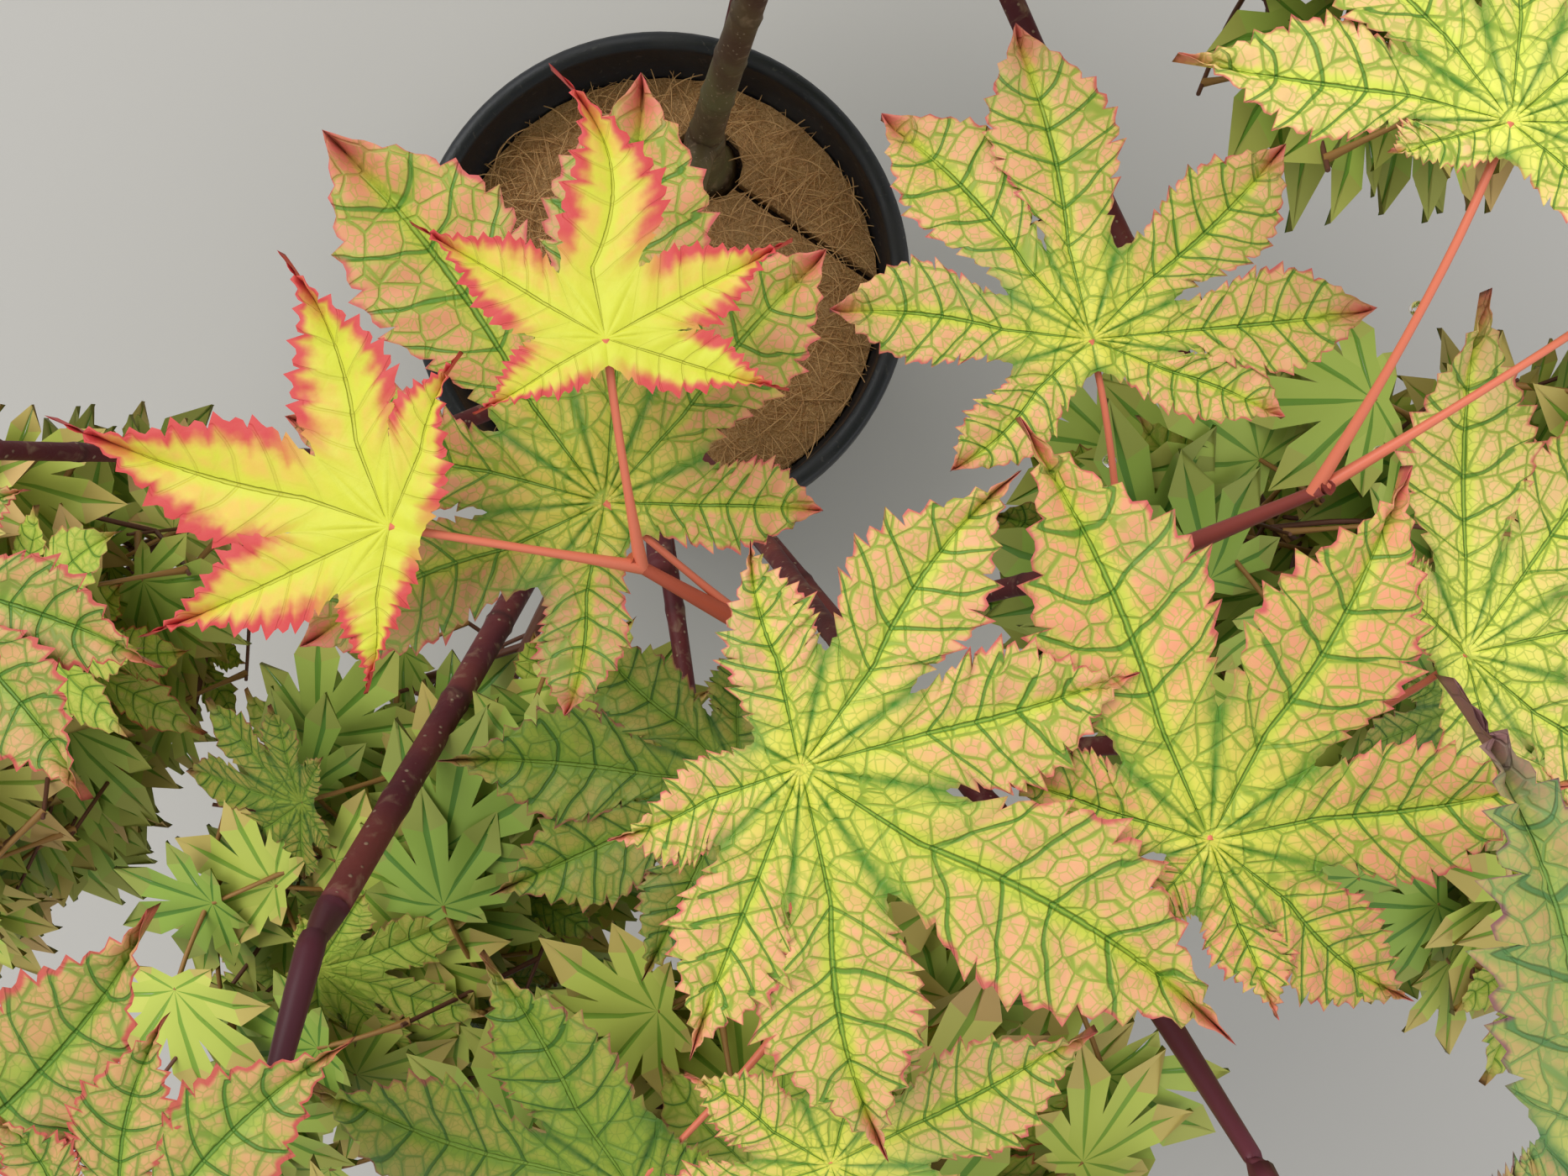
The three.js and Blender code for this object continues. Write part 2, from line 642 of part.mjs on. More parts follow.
// Twigs and leaves of a mass: shoots with pairs of leaves, each pair turned by a quarter.
// What would leave the mass's own space or touch a limb or a measured leaf is skipped.
function massParts(mass, limbs, taken) {
  const random = seeded(mass.seed);
  const jitter = () => random() * 2 - 1;
  const stem = limbs[mass.limb];
  const base = endOf(stem);
  const pastStem = taken.filter((length) => distance(base, length) > 2 * CLEAR);
  const fits = (point, margin, lengths = taken) =>
    inSpace(point, mass) && !inFreeSpace(point) && clearOf(lengths, point, margin);
  const rods = [];
  const leaves = [];
  const first = stem.curve.getTangent(1);
  const shoots = [{ from: base, way: first, radius: SHOOT.radius, nodes: mass.nodes, isMain: true }];
  while (shoots.length) {
    const shoot = shoots.shift();
    const points = [shoot.from];
    let way = shoot.way;
    for (let k = 0; k < shoot.nodes; k++) {
      const from = points[k];
      if (from !== base) way = drifted(way, from, jitter);
      const internode = SHOOT.internode * within(SHOOT.lengths, random());
      const to = from.clone().addScaledVector(way, internode);
      const lengths = from === base ? pastStem : taken;
      const margin = shoot.radius + TWIG_MARGIN;
      const tested = between(from, to, TWIG_TESTS);
      if (!tested.every((point) => fits(point, margin, lengths))) break;
      points.push(to);
      const across = way.clone().cross(UP).normalize();
      across.applyAxisAngle(way, (k % 2) * (Math.PI / 2) + SHOOT.turn * jitter());
      for (const side of [0, 1]) {
        const sideways = across.clone().multiplyScalar(1 - 2 * side);
        const leaf = firstThatFits(to, sideways, way, mass.leaf, random, leaves, fits);
        if (leaf) leaves.push({ ...leaf, root: rootOf(to, from, LEAF.petioleRoots[side]) });
        if (shoot.isMain && k < shoot.nodes - 1)
          shoots.push({
            from: rootOf(to, from, SIDE_SHOOT.roots[side]),
            way: sideways
              .addScaledVector(way, SIDE_SHOOT.forward)
              .addScaledVector(UP, SIDE_SHOOT.lift)
              .normalize(),
            radius: shoot.radius * SIDE_SHOOT.radius,
            nodes: SIDE_SHOOT.nodes,
            isMain: false,
          });
      }
    }
    const tip = shoot.radius * SHOOT.thinning ** (points.length - 1);
    if (points.length > 1) rods.push({ points, radii: [shoot.radius, tip] });
  }
  return { rods, leaves };
}

// Points on the straight line between two others, at shares of its length
function between(from, to, shares) {
  return shares.map((share) => from.clone().lerp(to, share));
}

// A shoot's next direction: it drifts outwards and up, and wanders
function drifted(way, from, jitter) {
  return way
    .clone()
    .addScaledVector(outward(from), SHOOT.spread)
    .addScaledVector(UP, SHOOT.lift)
    .add(new THREE.Vector3(jitter(), jitter(), jitter()).multiplyScalar(SHOOT.wander))
    .normalize();
}

// The first of a few tries at a leaf that keeps to its space and clear of everything before it
function firstThatFits(node, sideways, way, size, random, leaves, fits) {
  for (let i = 0; i < LEAF.tries; i++) {
    const leaf = grownBlade(node, sideways, way, size, random);
    const stalkPoints = between(node, leaf.foot, STALK_TESTS);
    const stalkFits = stalkPoints.every((point) => fits(point, 2 * TWIG_MARGIN));
    if (stalkFits && leafFits(leaf, leaves, fits)) return leaf;
  }
  return null;
}

// A leaf that grows from a node: its stalk leans out and up, its blade faces up and outwards
function grownBlade(node, sideways, way, size, random) {
  const heading = sideways
    .clone()
    .addScaledVector(way, within(LEAF.forward, random()))
    .addScaledVector(UP, within(LEAF.upward, random()));
  if (levelPart(heading) < LEAF.level) heading.addScaledVector(outward(node), LEAF.outward);
  const level = levelPart(heading);
  heading.z = Math.min(LEAF.rise * level, Math.max(-LEAF.fall * level, heading.z));
  const petiole = LEAF.petiole * within(LEAF.petioles, random());
  const foot = node.clone().addScaledVector(heading.normalize(), petiole);
  const normal = UP.clone()
    .addScaledVector(outward(foot), within(LEAF.lean, random()))
    .add(new THREE.Vector3(2 * random() - 1, 2 * random() - 1, 0).multiplyScalar(LEAF.sway))
    .normalize();
  return blade(foot, heading, normal, size * within(LEAF.sizes, random()), LEAF.lobes);
}

function levelPart(direction) {
  return Math.hypot(direction.x, direction.y);
}

// Whether a blade keeps to its space and lies clear of the blades before it
function leafFits(leaf, others, fits) {
  const spaced = others.every((other) => {
    const apart = leaf.foot.clone().sub(other.foot);
    const share = apart.length() / (leaf.size + other.size);
    const isLayered = share > LEAF.over && Math.abs(apart.dot(leaf.normal)) > LEAF.layer;
    return share > LEAF.aside || isLayered;
  });
  return spaced && samples(leaf).every((point) => fits(point, LEAF.touch));
}

// Rods and blades joined into one solid
function fused({ rods, leaves }) {
  const pieces = [...rods.map(rod), ...leaves.map(leafSolid)];
  return pieces.reduce((whole, piece) => whole.add(piece));
}

// Lengths of a measured spray that growth by rule keeps clear of
function takenBy({ rods, leaves }) {
  const lobes = leaves.flatMap((leaf) =>
    leaf.lobes.map(([degrees, reach]) => ({
      a: leaf.foot,
      b: bladePoint(leaf, degrees, reach * leaf.size),
      radius: MEASURED.reachShare * leaf.size,
    })),
  );
  const straight = rods.flatMap(({ points, radii }) =>
    points.slice(1).map((b, i) => ({ a: points[i], b, radius: radii[0] })),
  );
  return [...straight, ...lobes];
}

const colours = {
  plastic: new THREE.MeshStandardMaterial({ color: 0x1d1e20, roughness: 0.55 }),
  compost: new THREE.MeshStandardMaterial({ color: 0x2e2118, roughness: 1 }),
  fibre: new THREE.MeshStandardMaterial({ color: 0x8a5a34, roughness: 1 }),
  bark: new THREE.MeshStandardMaterial({ color: 0x4f2323, roughness: 0.6 }),
  foliage: new THREE.MeshStandardMaterial({ color: 0xb4b65a, roughness: 0.6 }),
  topFoliage: new THREE.MeshStandardMaterial({ color: 0xd6a878, roughness: 0.6 }),
};

const maple = new THREE.Group();
const base = new THREE.Group();
const wood = new THREE.Group();
const crown = new THREE.Group();
maple.add(base, wood, crown);

base.add(meshOf("pot", pot(), colours.plastic));
base.add(meshOf("compost", compost(), colours.compost));
base.add(meshOf("fibre_disc", fibreDisc(), colours.fibre));

const limbs = limbCurves();
for (const [name, solid] of Object.entries(limbSolids(limbs)))
  wood.add(meshOf(name, solid, colours.bark, limbs[name].curve.getPoint(0)));

const taken = Object.values(limbs).flatMap((limb) => lengthsOf(limb));
for (const [name, spray] of Object.entries(SPRAYS)) {
  const parts = sprayParts(spray, limbs);
  taken.push(...takenBy(parts));
  crown.add(meshOf(name, fused(parts), colours.topFoliage, parts.rods[0].points[0]));
}
for (const [name, mass] of Object.entries(MASSES)) {
  const parts = massParts(mass, limbs, taken);
  crown.add(meshOf(name, fused(parts), colours.foliage, parts.rods[0].points[0]));
}

export default maple;
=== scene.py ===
"""Looks of a young japanese maple in a nursery pot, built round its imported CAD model.

Lengths in the tables are millimetres, in the CAD's own frame; meshes are metres.
"""

import json
import math
from dataclasses import dataclass, replace

import bpy
import numpy as np
from mathutils import Matrix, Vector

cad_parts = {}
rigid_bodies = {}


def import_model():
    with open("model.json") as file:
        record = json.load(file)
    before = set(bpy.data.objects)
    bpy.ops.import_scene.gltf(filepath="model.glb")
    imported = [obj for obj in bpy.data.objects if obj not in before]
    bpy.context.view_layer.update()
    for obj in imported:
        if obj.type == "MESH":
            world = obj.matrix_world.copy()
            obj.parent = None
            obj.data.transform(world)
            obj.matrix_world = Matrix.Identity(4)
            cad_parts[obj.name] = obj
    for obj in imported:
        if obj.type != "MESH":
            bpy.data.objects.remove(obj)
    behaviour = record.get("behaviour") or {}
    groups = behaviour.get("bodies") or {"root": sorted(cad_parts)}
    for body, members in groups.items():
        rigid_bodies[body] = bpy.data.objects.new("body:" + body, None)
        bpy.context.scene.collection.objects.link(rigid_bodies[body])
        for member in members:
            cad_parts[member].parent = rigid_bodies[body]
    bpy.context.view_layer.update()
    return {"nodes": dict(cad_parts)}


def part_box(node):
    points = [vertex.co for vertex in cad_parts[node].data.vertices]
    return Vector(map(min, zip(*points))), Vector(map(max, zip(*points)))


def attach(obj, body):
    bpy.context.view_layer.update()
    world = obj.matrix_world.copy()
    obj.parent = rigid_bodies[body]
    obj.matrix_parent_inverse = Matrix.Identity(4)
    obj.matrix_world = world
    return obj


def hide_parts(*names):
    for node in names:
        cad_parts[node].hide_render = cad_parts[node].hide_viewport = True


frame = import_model()

MM = 0.001
UP = np.array([0.0, 0.0, 1.0])
FOOT = np.array([16, 50, 126.3])  # of the trunk, on the compost
FLARE_RADIUS, FLARE_HEIGHT = 4.6, 7  # what the root flare adds, and how soon it dies away
AXIS = np.array([20, -24, 0])  # the upright line from which shoots and leaves turn outward
EYE = np.array([47, -116, 594])  # the camera
CLEAR = 0.3  # air between a limb's end and what grows on it
LIMB_LENGTHS = 8  # straight lengths that stand for a limb where leaves keep clear of it


@dataclass
class Limb:
    """The trunk, a bough or a thin limb."""

    parent: str
    at: float  # where on its parent it starts, as a share of the way along it
    to: tuple  # its tip
    bend: tuple  # how far its curve's control point lies from halfway between its ends
    radii: tuple  # at its start and its tip


@dataclass
class Mass:
    """A mass of foliage that grows by rule."""

    limb: str
    middle: tuple
    nodes: int  # of its main twig
    leaf: float  # length of a leaf
    seed: int


@dataclass
class MeasuredLeaf:
    """A leaf that lies as in the photo."""

    node: int  # of its twig, from which its stalk comes
    foot: tuple
    lean: tuple  # how far its face turns from straight up, along X and Y
    lobes: list  # each lobe's turn from +X in degrees, and its length


@dataclass
class Spray:
    """A top spray of measured leaves."""

    limb: str
    nodes: list  # of its twig, after the first one at the limb's tip
    leaves: dict


LIMBS = {
    "trunk": Limb(None, 0, (18, 50, 162), (-1, 0, 0), (8.2, 6.9)),
    "stem_north": Limb("trunk", 0.97, (47, 60, 286), (-2, 0, 0), (6.0, 4.4)),
    "bough_south": Limb("trunk", 0.86, (18, -112, 318), (-16, 0, -26), (5.6, 3.0)),
    "bough_top": Limb("stem_north", 0.97, (34, 58, 386), (6, 6, 0), (3.9, 2.5)),
    "bough_north": Limb("stem_north", 0.9, (36, 112, 362), (0, 6, -16), (3.9, 2.5)),
    "bough_west": Limb("stem_north", 0.84, (-100, 34, 344), (0, 10, -8), (3.9, 2.4)),
    "bough_east": Limb("stem_north", 0.92, (128, 26, 332), (0, 8, -8), (4.0, 2.4)),
    "bough_north_west": Limb("stem_north", 0.7, (-56, 104, 330), (0, 8, -8), (3.5, 2.3)),
    "bough_north_east": Limb("bough_east", 0.42, (104, 90, 352), (0, 0, -8), (3.1, 2.2)),
    "bough_low_north": Limb("stem_north", 0.3, (48, 116, 250), (0, 6, -6), (3.2, 2.2)),
    "bough_low_east": Limb("bough_east", 0.62, (144, -60, 308), (0, 0, -6), (2.8, 2.0)),
    "bough_south_west": Limb("bough_south", 0.5, (-24, -166, 408), (-8, 0, -50), (3.7, 2.7)),
    "bough_low_west": Limb("bough_south", 0.56, (-80, -90, 286), (0, 0, 2), (3.0, 2.0)),
    "bough_south_east": Limb("bough_south", 0.72, (108, -184, 394), (0, 0, -24), (3.4, 2.4)),
    "bough_inner_south": Limb("bough_south", 0.64, (-14, -116, 280), (0, 0, 0), (2.6, 1.9)),
    "bough_low_south": Limb("bough_south", 0.88, (30, -180, 322), (0, 0, -8), (2.6, 2.0)),
    "twig_left": Limb("bough_south_east", 0.3, (58, -128, 424), (0, 0, 0), (2.3, 1.7)),
    "twig_right": Limb("bough_south_east", 0.5, (95, -113, 412), (0, 0, -4), (2.2, 1.7)),
    "twig_east": Limb("bough_south_east", 0.72, (124, -140, 408), (0, 0, -6), (2.1, 1.6)),
    "twig_south": Limb("bough_low_south", 0.6, (52, -172, 402), (4, 0, -6), (2.1, 1.6)),
    "twig_west": Limb("bough_low_west", 0.82, (-80, -94, 406), (-4, 0, 0), (2.2, 1.6)),
}

MASSES = {
    "crown_top": Mass("bough_top", (26, 50, 446), 3, 43, 51),
    "crown_north": Mass("bough_north", (40, 154, 416), 4, 43, 6),
    "crown_north_west": Mass("bough_north_west", (-82, 132, 382), 4, 41, 52),
    "crown_north_east": Mass("bough_north_east", (142, 122, 396), 4, 41, 6),
    "crown_west": Mass("bough_west", (-148, 24, 388), 4, 41, 41),
    "crown_east": Mass("bough_east", (188, 14, 378), 4, 41, 31),
    "crown_low_north": Mass("bough_low_north", (60, 154, 290), 3, 36, 31),
    "crown_low_west": Mass("bough_low_west", (-128, -112, 312), 4, 36, 3),
    "crown_low_east": Mass("bough_low_east", (188, -104, 330), 4, 37, 34),
    "crown_low_south": Mass("bough_low_south", (50, -226, 336), 4, 37, 6),
    "crown_inner_south": Mass("bough_inner_south", (-26, -170, 300), 4, 34, 1),
}

SPRAYS = {
    "spray_left": Spray(
        "twig_left",
        [(42, -121, 436), (27.5, -112.5, 446)],
        {
            "young_upper": MeasuredLeaf(
                2, (27, -88, 462), (0.02, 0.1),
                [(-17, 21.5), (29, 24), (102, 32), (150, 25), (211, 17)],
            ),
            "young_left": MeasuredLeaf(
                2, (2, -109, 460), (-0.12, 0),
                [(66, 21.5), (112, 34), (162, 41), (204, 31), (260, 19.5)],
            ),
            "broad_left": MeasuredLeaf(
                1, (24, -105, 443), (-0.04, 0.02),
                [(-2, 28), (48, 42.5), (85, 55), (127, 59), (165, 42), (205, 44), (259, 28)],
            ),
            "broad_middle": MeasuredLeaf(
                0, (49, -137.5, 453), (0.02, -0.03),
                [(-161, 24), (-111, 37), (-77.5, 52), (-33, 64), (15, 43), (54, 43.7), (102.4, 28)],
            ),
        },
    ),
    "spray_right": Spray(
        "twig_right",
        [(103, -110, 430), (115.3, -103.3, 446)],
        {
            "broad_right": MeasuredLeaf(
                1, (99.8, -147.3, 448), (0.02, -0.06),
                [(-130, 12), (-70, 23), (-38, 35.5), (11, 43), (63, 52), (114, 57.5), (164, 28)],
            ),
            "broad_upper": MeasuredLeaf(
                0, (89, -82, 433), (-0.03, 0.06),
                [(-23, 28), (5, 37.6), (45, 37.4), (102.6, 45.4), (130, 44), (173, 36), (223, 26.4)],
            ),
            "corner_upper": MeasuredLeaf(
                2, (126, -65.3, 466), (0.04, 0.08),
                [(-40, 24), (0, 34), (40, 40), (81, 44), (125, 40), (166, 36.3), (196, 15)],
            ),
            "corner_side": MeasuredLeaf(
                2, (152, -78, 454), (0.14, 0.04),
                [(-112, 17), (-70, 30), (-32, 41), (6, 45), (44, 39), (84, 24)],
            ),
        },
    ),
    "spray_east": Spray(
        "twig_east",
        [(127, -137, 424)],
        {
            "side_right": MeasuredLeaf(
                1, (136.2, -124.6, 440), (0.05, 0.02),
                [(-75, 36), (-40, 42), (12, 41), (52, 46), (89, 46.8), (135, 16)],
            ),
        },
    ),
    "spray_south_east": Spray(
        "bough_south_east",
        [(113.4, -197, 430), (115, -204, 446)],
        {
            "near_right": MeasuredLeaf(
                2, (131.6, -181, 474), (0.12, -0.06),
                [(-62, 22), (-28, 40), (8, 50), (40, 53), (71, 55), (105, 57.5), (158, 15)],
            ),
            "low_right": MeasuredLeaf(
                2, (108, -232, 452), (0.06, -0.3),
                [(-196, 19), (-160, 33), (-124, 44), (-86, 48), (-48, 43), (-12, 31), (26, 18)],
            ),
        },
    ),
    "spray_south": Spray(
        "twig_south",
        [(50, -178, 420)],
        {
            "low_middle": MeasuredLeaf(
                1, (53.3, -193.4, 436), (0, -0.1),
                [(-70, 38), (-25, 44), (27, 40), (75, 31), (149, 23), (200, 30)],
            ),
            "shaded_left": MeasuredLeaf(
                1, (25, -202.7, 424), (-0.06, -0.06),
                [(-30, 24), (8, 16), (125, 40), (168, 52), (214, 44), (256, 36)],
            ),
            "deep_middle": MeasuredLeaf(
                0, (39.6, -148, 400), (-0.08, 0.04),
                [(92, 24), (135, 38), (176, 50), (205, 48), (244, 36), (284, 22)],
            ),
        },
    ),
    "spray_south_west": Spray(
        "bough_south_west",
        [(-22, -169, 423), (-22.6, -192, 440), (-24, -206, 450)],
        {
            "fresh_left": MeasuredLeaf(
                3, (-30.5, -193.2, 461), (0, -0.05),
                [(-60, 20), (-10, 24), (42, 38), (75, 30), (118, 22), (176, 16)],
            ),
            "edge_left": MeasuredLeaf(
                3, (-56, -190, 457), (-0.08, -0.03),
                [(4, 22), (50, 50), (95, 43), (140, 44), (184, 38), (226, 24)],
            ),
        },
    ),
    "spray_west": Spray(
        "twig_west",
        [(-72, -98, 424)],
        {
            "edge_upper": MeasuredLeaf(
                1, (-67, -112.3, 444), (-0.1, 0.04),
                [(-84, 18), (-45, 42), (-22, 37), (26, 20), (104, 28), (150, 42), (196, 40), (236, 26)],
            ),
        },
    ),
}


@dataclass
class Growth:
    """How shoots and their leaves grow."""

    internode: float  # a twig's length between nodes
    radius: float  # a twig's, at its start
    stalk: float  # the length of a leaf's stalk
    aside: float  # how far apart leaves lie side by side, as a share of their two lengths
    over: float  # how far apart in layers, in the same way
    layer: float  # height between layers
    side_nodes: int  # of a side shoot
    leaf_size: float = 1.0  # as a share of the mass's own
    touch: float = 5.0  # how far leaves keep from wood


# The solids' own rule, and a finer one for the twigs that only show here
COARSE = Growth(27, 2, 27, 0.62, 0.34, 8, side_nodes=2)
FINE = Growth(17, 0.62, 19, 0.36, 0.2, 3, side_nodes=0, leaf_size=0.78, touch=2.2)
FINE_NODES = 3
FINE_ROOT = 9  # how far below a node a finer twig sets out
NEAR_ROUNDS, FAR_ROUNDS = (1, 1), (1, 4)  # rounds of finer twigs, which keep one shoot in so many

# Twigs: what turns them at a node, how far their leaf pairs turn, and how they thin out
WANDER, LIFT, SPREAD, TURN = 0.2, 0.06, 0.14, 0.5
TWIG_LENGTHS = (0.8, 1.2)
THINNING = 0.86
SIDE_RADIUS, SIDE_ROOTS, SIDE_FORWARD, SIDE_LIFT = 0.55, (5, 7), 0.6, 0.2

# Stalks: how far they turn forward and upward, how steep they may be, and their sizes
FORWARD, UPWARD = (0.1, 0.8), (-0.1, 0.8)
RISE, FALL, LEVEL, OUTWARD = 0.6, 0.35, 0.4, 0.8
STALK_LENGTHS = (0.7, 1.3)
STALK_ROOTS = (2, 3.2)
STALK_RADII = (0.62, 0.5)

# Grown leaves: each lobe's turn and length, the depth between lobes, and how they sag and lean
LEAF_LOBES = [(-118, 0.38), (-78, 0.68), (-39, 0.92), (0, 1), (39, 0.92), (78, 0.68), (118, 0.38)]
LEAF_SINUS, LEAF_DROOP, LEAF_NOTCH = 0.4, 0.16, 0.1
LEAF_SIZES, LEAF_LEANS, LEAF_TILT = (0.82, 1.12), (0.2, 0.6), 0.2
TRIES = 5

# Measured leaves, with what their stalks and lobes take up
MEASURED_SINUS, MEASURED_DROOP = 0.3, 0.05
STRAIGHT_ON = 3  # how far a spray's twig first goes on as its limb does
LOW_NODE = 0.4  # where a leaf of node 0 sits on the twig's first length
STALK_END, STALK_ROOM, LOBE_ROOM = 0.045, 0.7, 0.1

# Where twigs, stalks and lobes are tested for room, and the room that they need
TWIG_TESTS = (0.35, 0.6, 0.8, 1)
STALK_TESTS = (0.4, 0.6, 0.8)
LOBE_TESTS = (0.25, 0.5, 0.75, 1)
SPACE_MARGIN, TWIG_MARGIN = 1.2, 0.8
TOP = np.array([(-54, -196, 414), (154, -38, 600)])  # the top sprays' own box
LOWEST = 176  # height under which no foliage hangs
# Two windows onto the pot, by their slopes across and along as seen from the camera
GAPS = [((-0.7, 0.32), (0.25, 0.56)), ((-0.7, -0.43), (0.16, 0.56))]


def seeded(seed):
    """The solids' own numbers from 0 to 1, the same in every run."""
    state = seed * 7919 + 101
    while True:
        state = state * 16807 % 2147483647
        yield state / 2147483647


def swing(draw):
    """A number from -1 to 1."""
    return 2 * draw() - 1


def unit(vector):
    return vector / np.linalg.norm(vector)


def within(lowest, highest, share):
    return lowest + (highest - lowest) * share


def outward(point):
    """The level way out from the plant's axis."""
    return unit((point - AXIS) * (1, 1, 0))


def level_way(turn):
    return np.array([math.cos(turn), math.sin(turn)])


def crosswise(way, level, turn):
    """A way square to another one, turned round it from a level one."""
    return level * math.cos(turn) + np.cross(way, level) * math.sin(turn)


class Curve:
    """A limb's axis, from its parent to its tip, and its radius."""

    def __init__(self, limb, curves):
        parent = curves.get(limb.parent)
        start = parent.point(limb.at) if parent else FOOT
        end = np.array(limb.to, float)
        self.ends = (start, (start + end) / 2 + limb.bend, end)
        self.radii = limb.radii
        self.flare = 0 if parent else FLARE_RADIUS

    def point(self, share):
        start, middle, end = self.ends
        return (1 - share) ** 2 * start + 2 * (1 - share) * share * middle + share**2 * end

    def tangent(self, share):
        step = 0.0001
        return unit(self.point(min(1, share + step)) - self.point(max(0, share - step)))

    def points(self, lengths):
        return [self.point(i / lengths) for i in range(lengths + 1)]

    def length(self, steps=20):
        points = self.points(steps)
        return sum(np.linalg.norm(b - a) for a, b in zip(points, points[1:]))

    def radius(self, share):
        height = self.ends[2][2] - self.ends[0][2]
        return within(*self.radii, share) + self.flare * math.exp(-share * height / FLARE_HEIGHT)

    def foot(self):
        """Where a mass or spray starts, just past the limb's tip."""
        return self.point(1) + self.tangent(1) * CLEAR


class Rods:
    """Straight lengths with a radius, that leaves keep clear of."""

    def __init__(self, rows=()):
        self.rows, self.known = list(rows), None

    def add(self, a, b, radius):
        self.rows.append((*a, *b, radius))
        self.known = None

    def arrays(self):
        """Starts, ways and radii, with the ways' squared lengths."""
        if self.known is None:
            rows = np.array(self.rows, float)
            ways = rows[:, 3:6] - rows[:, :3]
            self.known = rows[:, :3], ways, rows[:, 6], (ways * ways).sum(1)
        return self.known

    def depth(self, points):
        """How far each point is from each length's surface, points by lengths."""
        starts, along, radii, squares = self.arrays()
        offset = np.asarray(points)[:, None, :] - starts[None]
        share = (offset * along).sum(2) / squares
        nearest = offset - np.clip(share, 0, 1)[..., None] * along
        return np.linalg.norm(nearest, axis=2) - radii

    def without(self, point, reach):
        far = self.depth([point])[0] + self.arrays()[2] > reach
        return Rods(row for row, is_far in zip(self.rows, far) if is_far)


class Blade:
    """A leaf's place: its foot, the way its middle lobe points, its left and its normal."""

    def __init__(self, foot, toward, normal, size, lobes, droop, sinus):
        self.foot, self.normal, self.size = foot, normal, size
        self.heading = unit(toward - np.dot(toward, normal) * normal)
        self.left = np.cross(normal, self.heading)
        self.lobes, self.droop, self.sinus = lobes, droop, sinus
        self.root = None

    def point(self, degrees, reach):
        """Where a lobe's midrib is at some distance from the foot, sagging outward."""
        turn = math.radians(degrees)
        sag = self.droop * self.size * (reach / self.size) ** 2
        flat = reach * math.cos(turn) * self.heading + reach * math.sin(turn) * self.left
        return self.foot + flat - sag * self.normal

    def samples(self):
        """The foot and points along each lobe, where the leaf's room is tested."""
        tips = [
            self.point(degrees, share * reach * self.size)
            for degrees, reach in self.lobes
            for share in LOBE_TESTS
        ]
        return [self.foot, *tips]


class Space:
    """Where one mass may grow: nearer to its own middle than to any other, and out of the gaps."""

    def __init__(self, mass, taken):
        self.middle = np.array(mass.middle, float)
        self.others = np.array([m.middle for m in MASSES.values() if m is not mass], float)
        self.taken = taken
        self.box = None

    def is_own(self, points):
        """Whether all points are well on this mass's side of the planes halfway to the others."""
        to_other = ((points[:, None] - self.others[None]) ** 2).sum(2)
        to_own = ((points - self.middle) ** 2).sum(1)[:, None]
        between = np.linalg.norm(self.others - self.middle, axis=1)
        return ((to_other - to_own) / 2 / between > SPACE_MARGIN).all()

    def fits(self, points, margin, rods=None):
        """Whether all points are in this space, and further than a margin from wood."""
        points = np.asarray(points, float)
        if not self.is_own(points):
            return False
        if self.box is not None and not ((points > self.box[0]) & (points < self.box[1])).all():
            return False
        return not in_gap(points).any() and ((rods or self.taken).depth(points) > margin).all()


def in_gap(points):
    """Whether points are in the sprays' own space, or in sight of the pot from above."""
    in_top = ((points > TOP[0]) & (points < TOP[1])).all(1)
    x, y, z = points.T
    across, along = (x - EYE[0]) / (EYE[2] - z), (y - EYE[1]) / (EYE[2] - z)
    in_windows = [
        (across > left) & (across < right) & (along > low) & (along < high)
        for (left, right), (low, high) in GAPS
    ]
    return in_top | np.any(in_windows, axis=0) | (z < LOWEST)


@dataclass
class Shoot:
    points: list
    way: np.ndarray
    radius: float
    nodes: int
    is_main: bool = False
    leafy: int = 0  # how many of its points its leaves reach

    def trimmed(self):
        self.points = self.points[: self.leafy]
        return self


def root_of(node, below, depth):
    """A point on a twig's axis a little below its node."""
    return node + unit(below - node) * depth


def grown_blade(shoot, sideways, size, draw, rule):
    """A leaf at a shoot's last node, on a stalk that is neither steep nor turned inward."""
    node = shoot.points[-1]
    heading = sideways + shoot.way * within(*FORWARD, draw()) + UP * within(*UPWARD, draw())
    if math.hypot(heading[0], heading[1]) < LEVEL:
        heading = heading + outward(node) * OUTWARD
    level = math.hypot(heading[0], heading[1])
    heading[2] = min(RISE * level, max(-FALL * level, heading[2]))
    heading = unit(heading)
    foot = node + heading * rule.stalk * within(*STALK_LENGTHS, draw())
    normal = UP + outward(foot) * within(*LEAF_LEANS, draw())
    normal = normal + np.array([swing(draw), swing(draw), 0]) * LEAF_TILT
    size = size * within(*LEAF_SIZES, draw())
    return Blade(foot, heading, unit(normal), size, LEAF_LOBES, LEAF_DROOP, LEAF_SINUS)


def is_spaced(leaf, others, rule):
    """Whether a leaf lies beside the others, or a layer over or under them."""
    if not others:
        return True
    apart = leaf.foot - np.array([other.foot for other in others])
    share = np.linalg.norm(apart, axis=1) / (leaf.size + np.array([o.size for o in others]))
    is_layered = (share > rule.over) & (abs(apart @ leaf.normal) > rule.layer)
    return ((share > rule.aside) | is_layered).all()


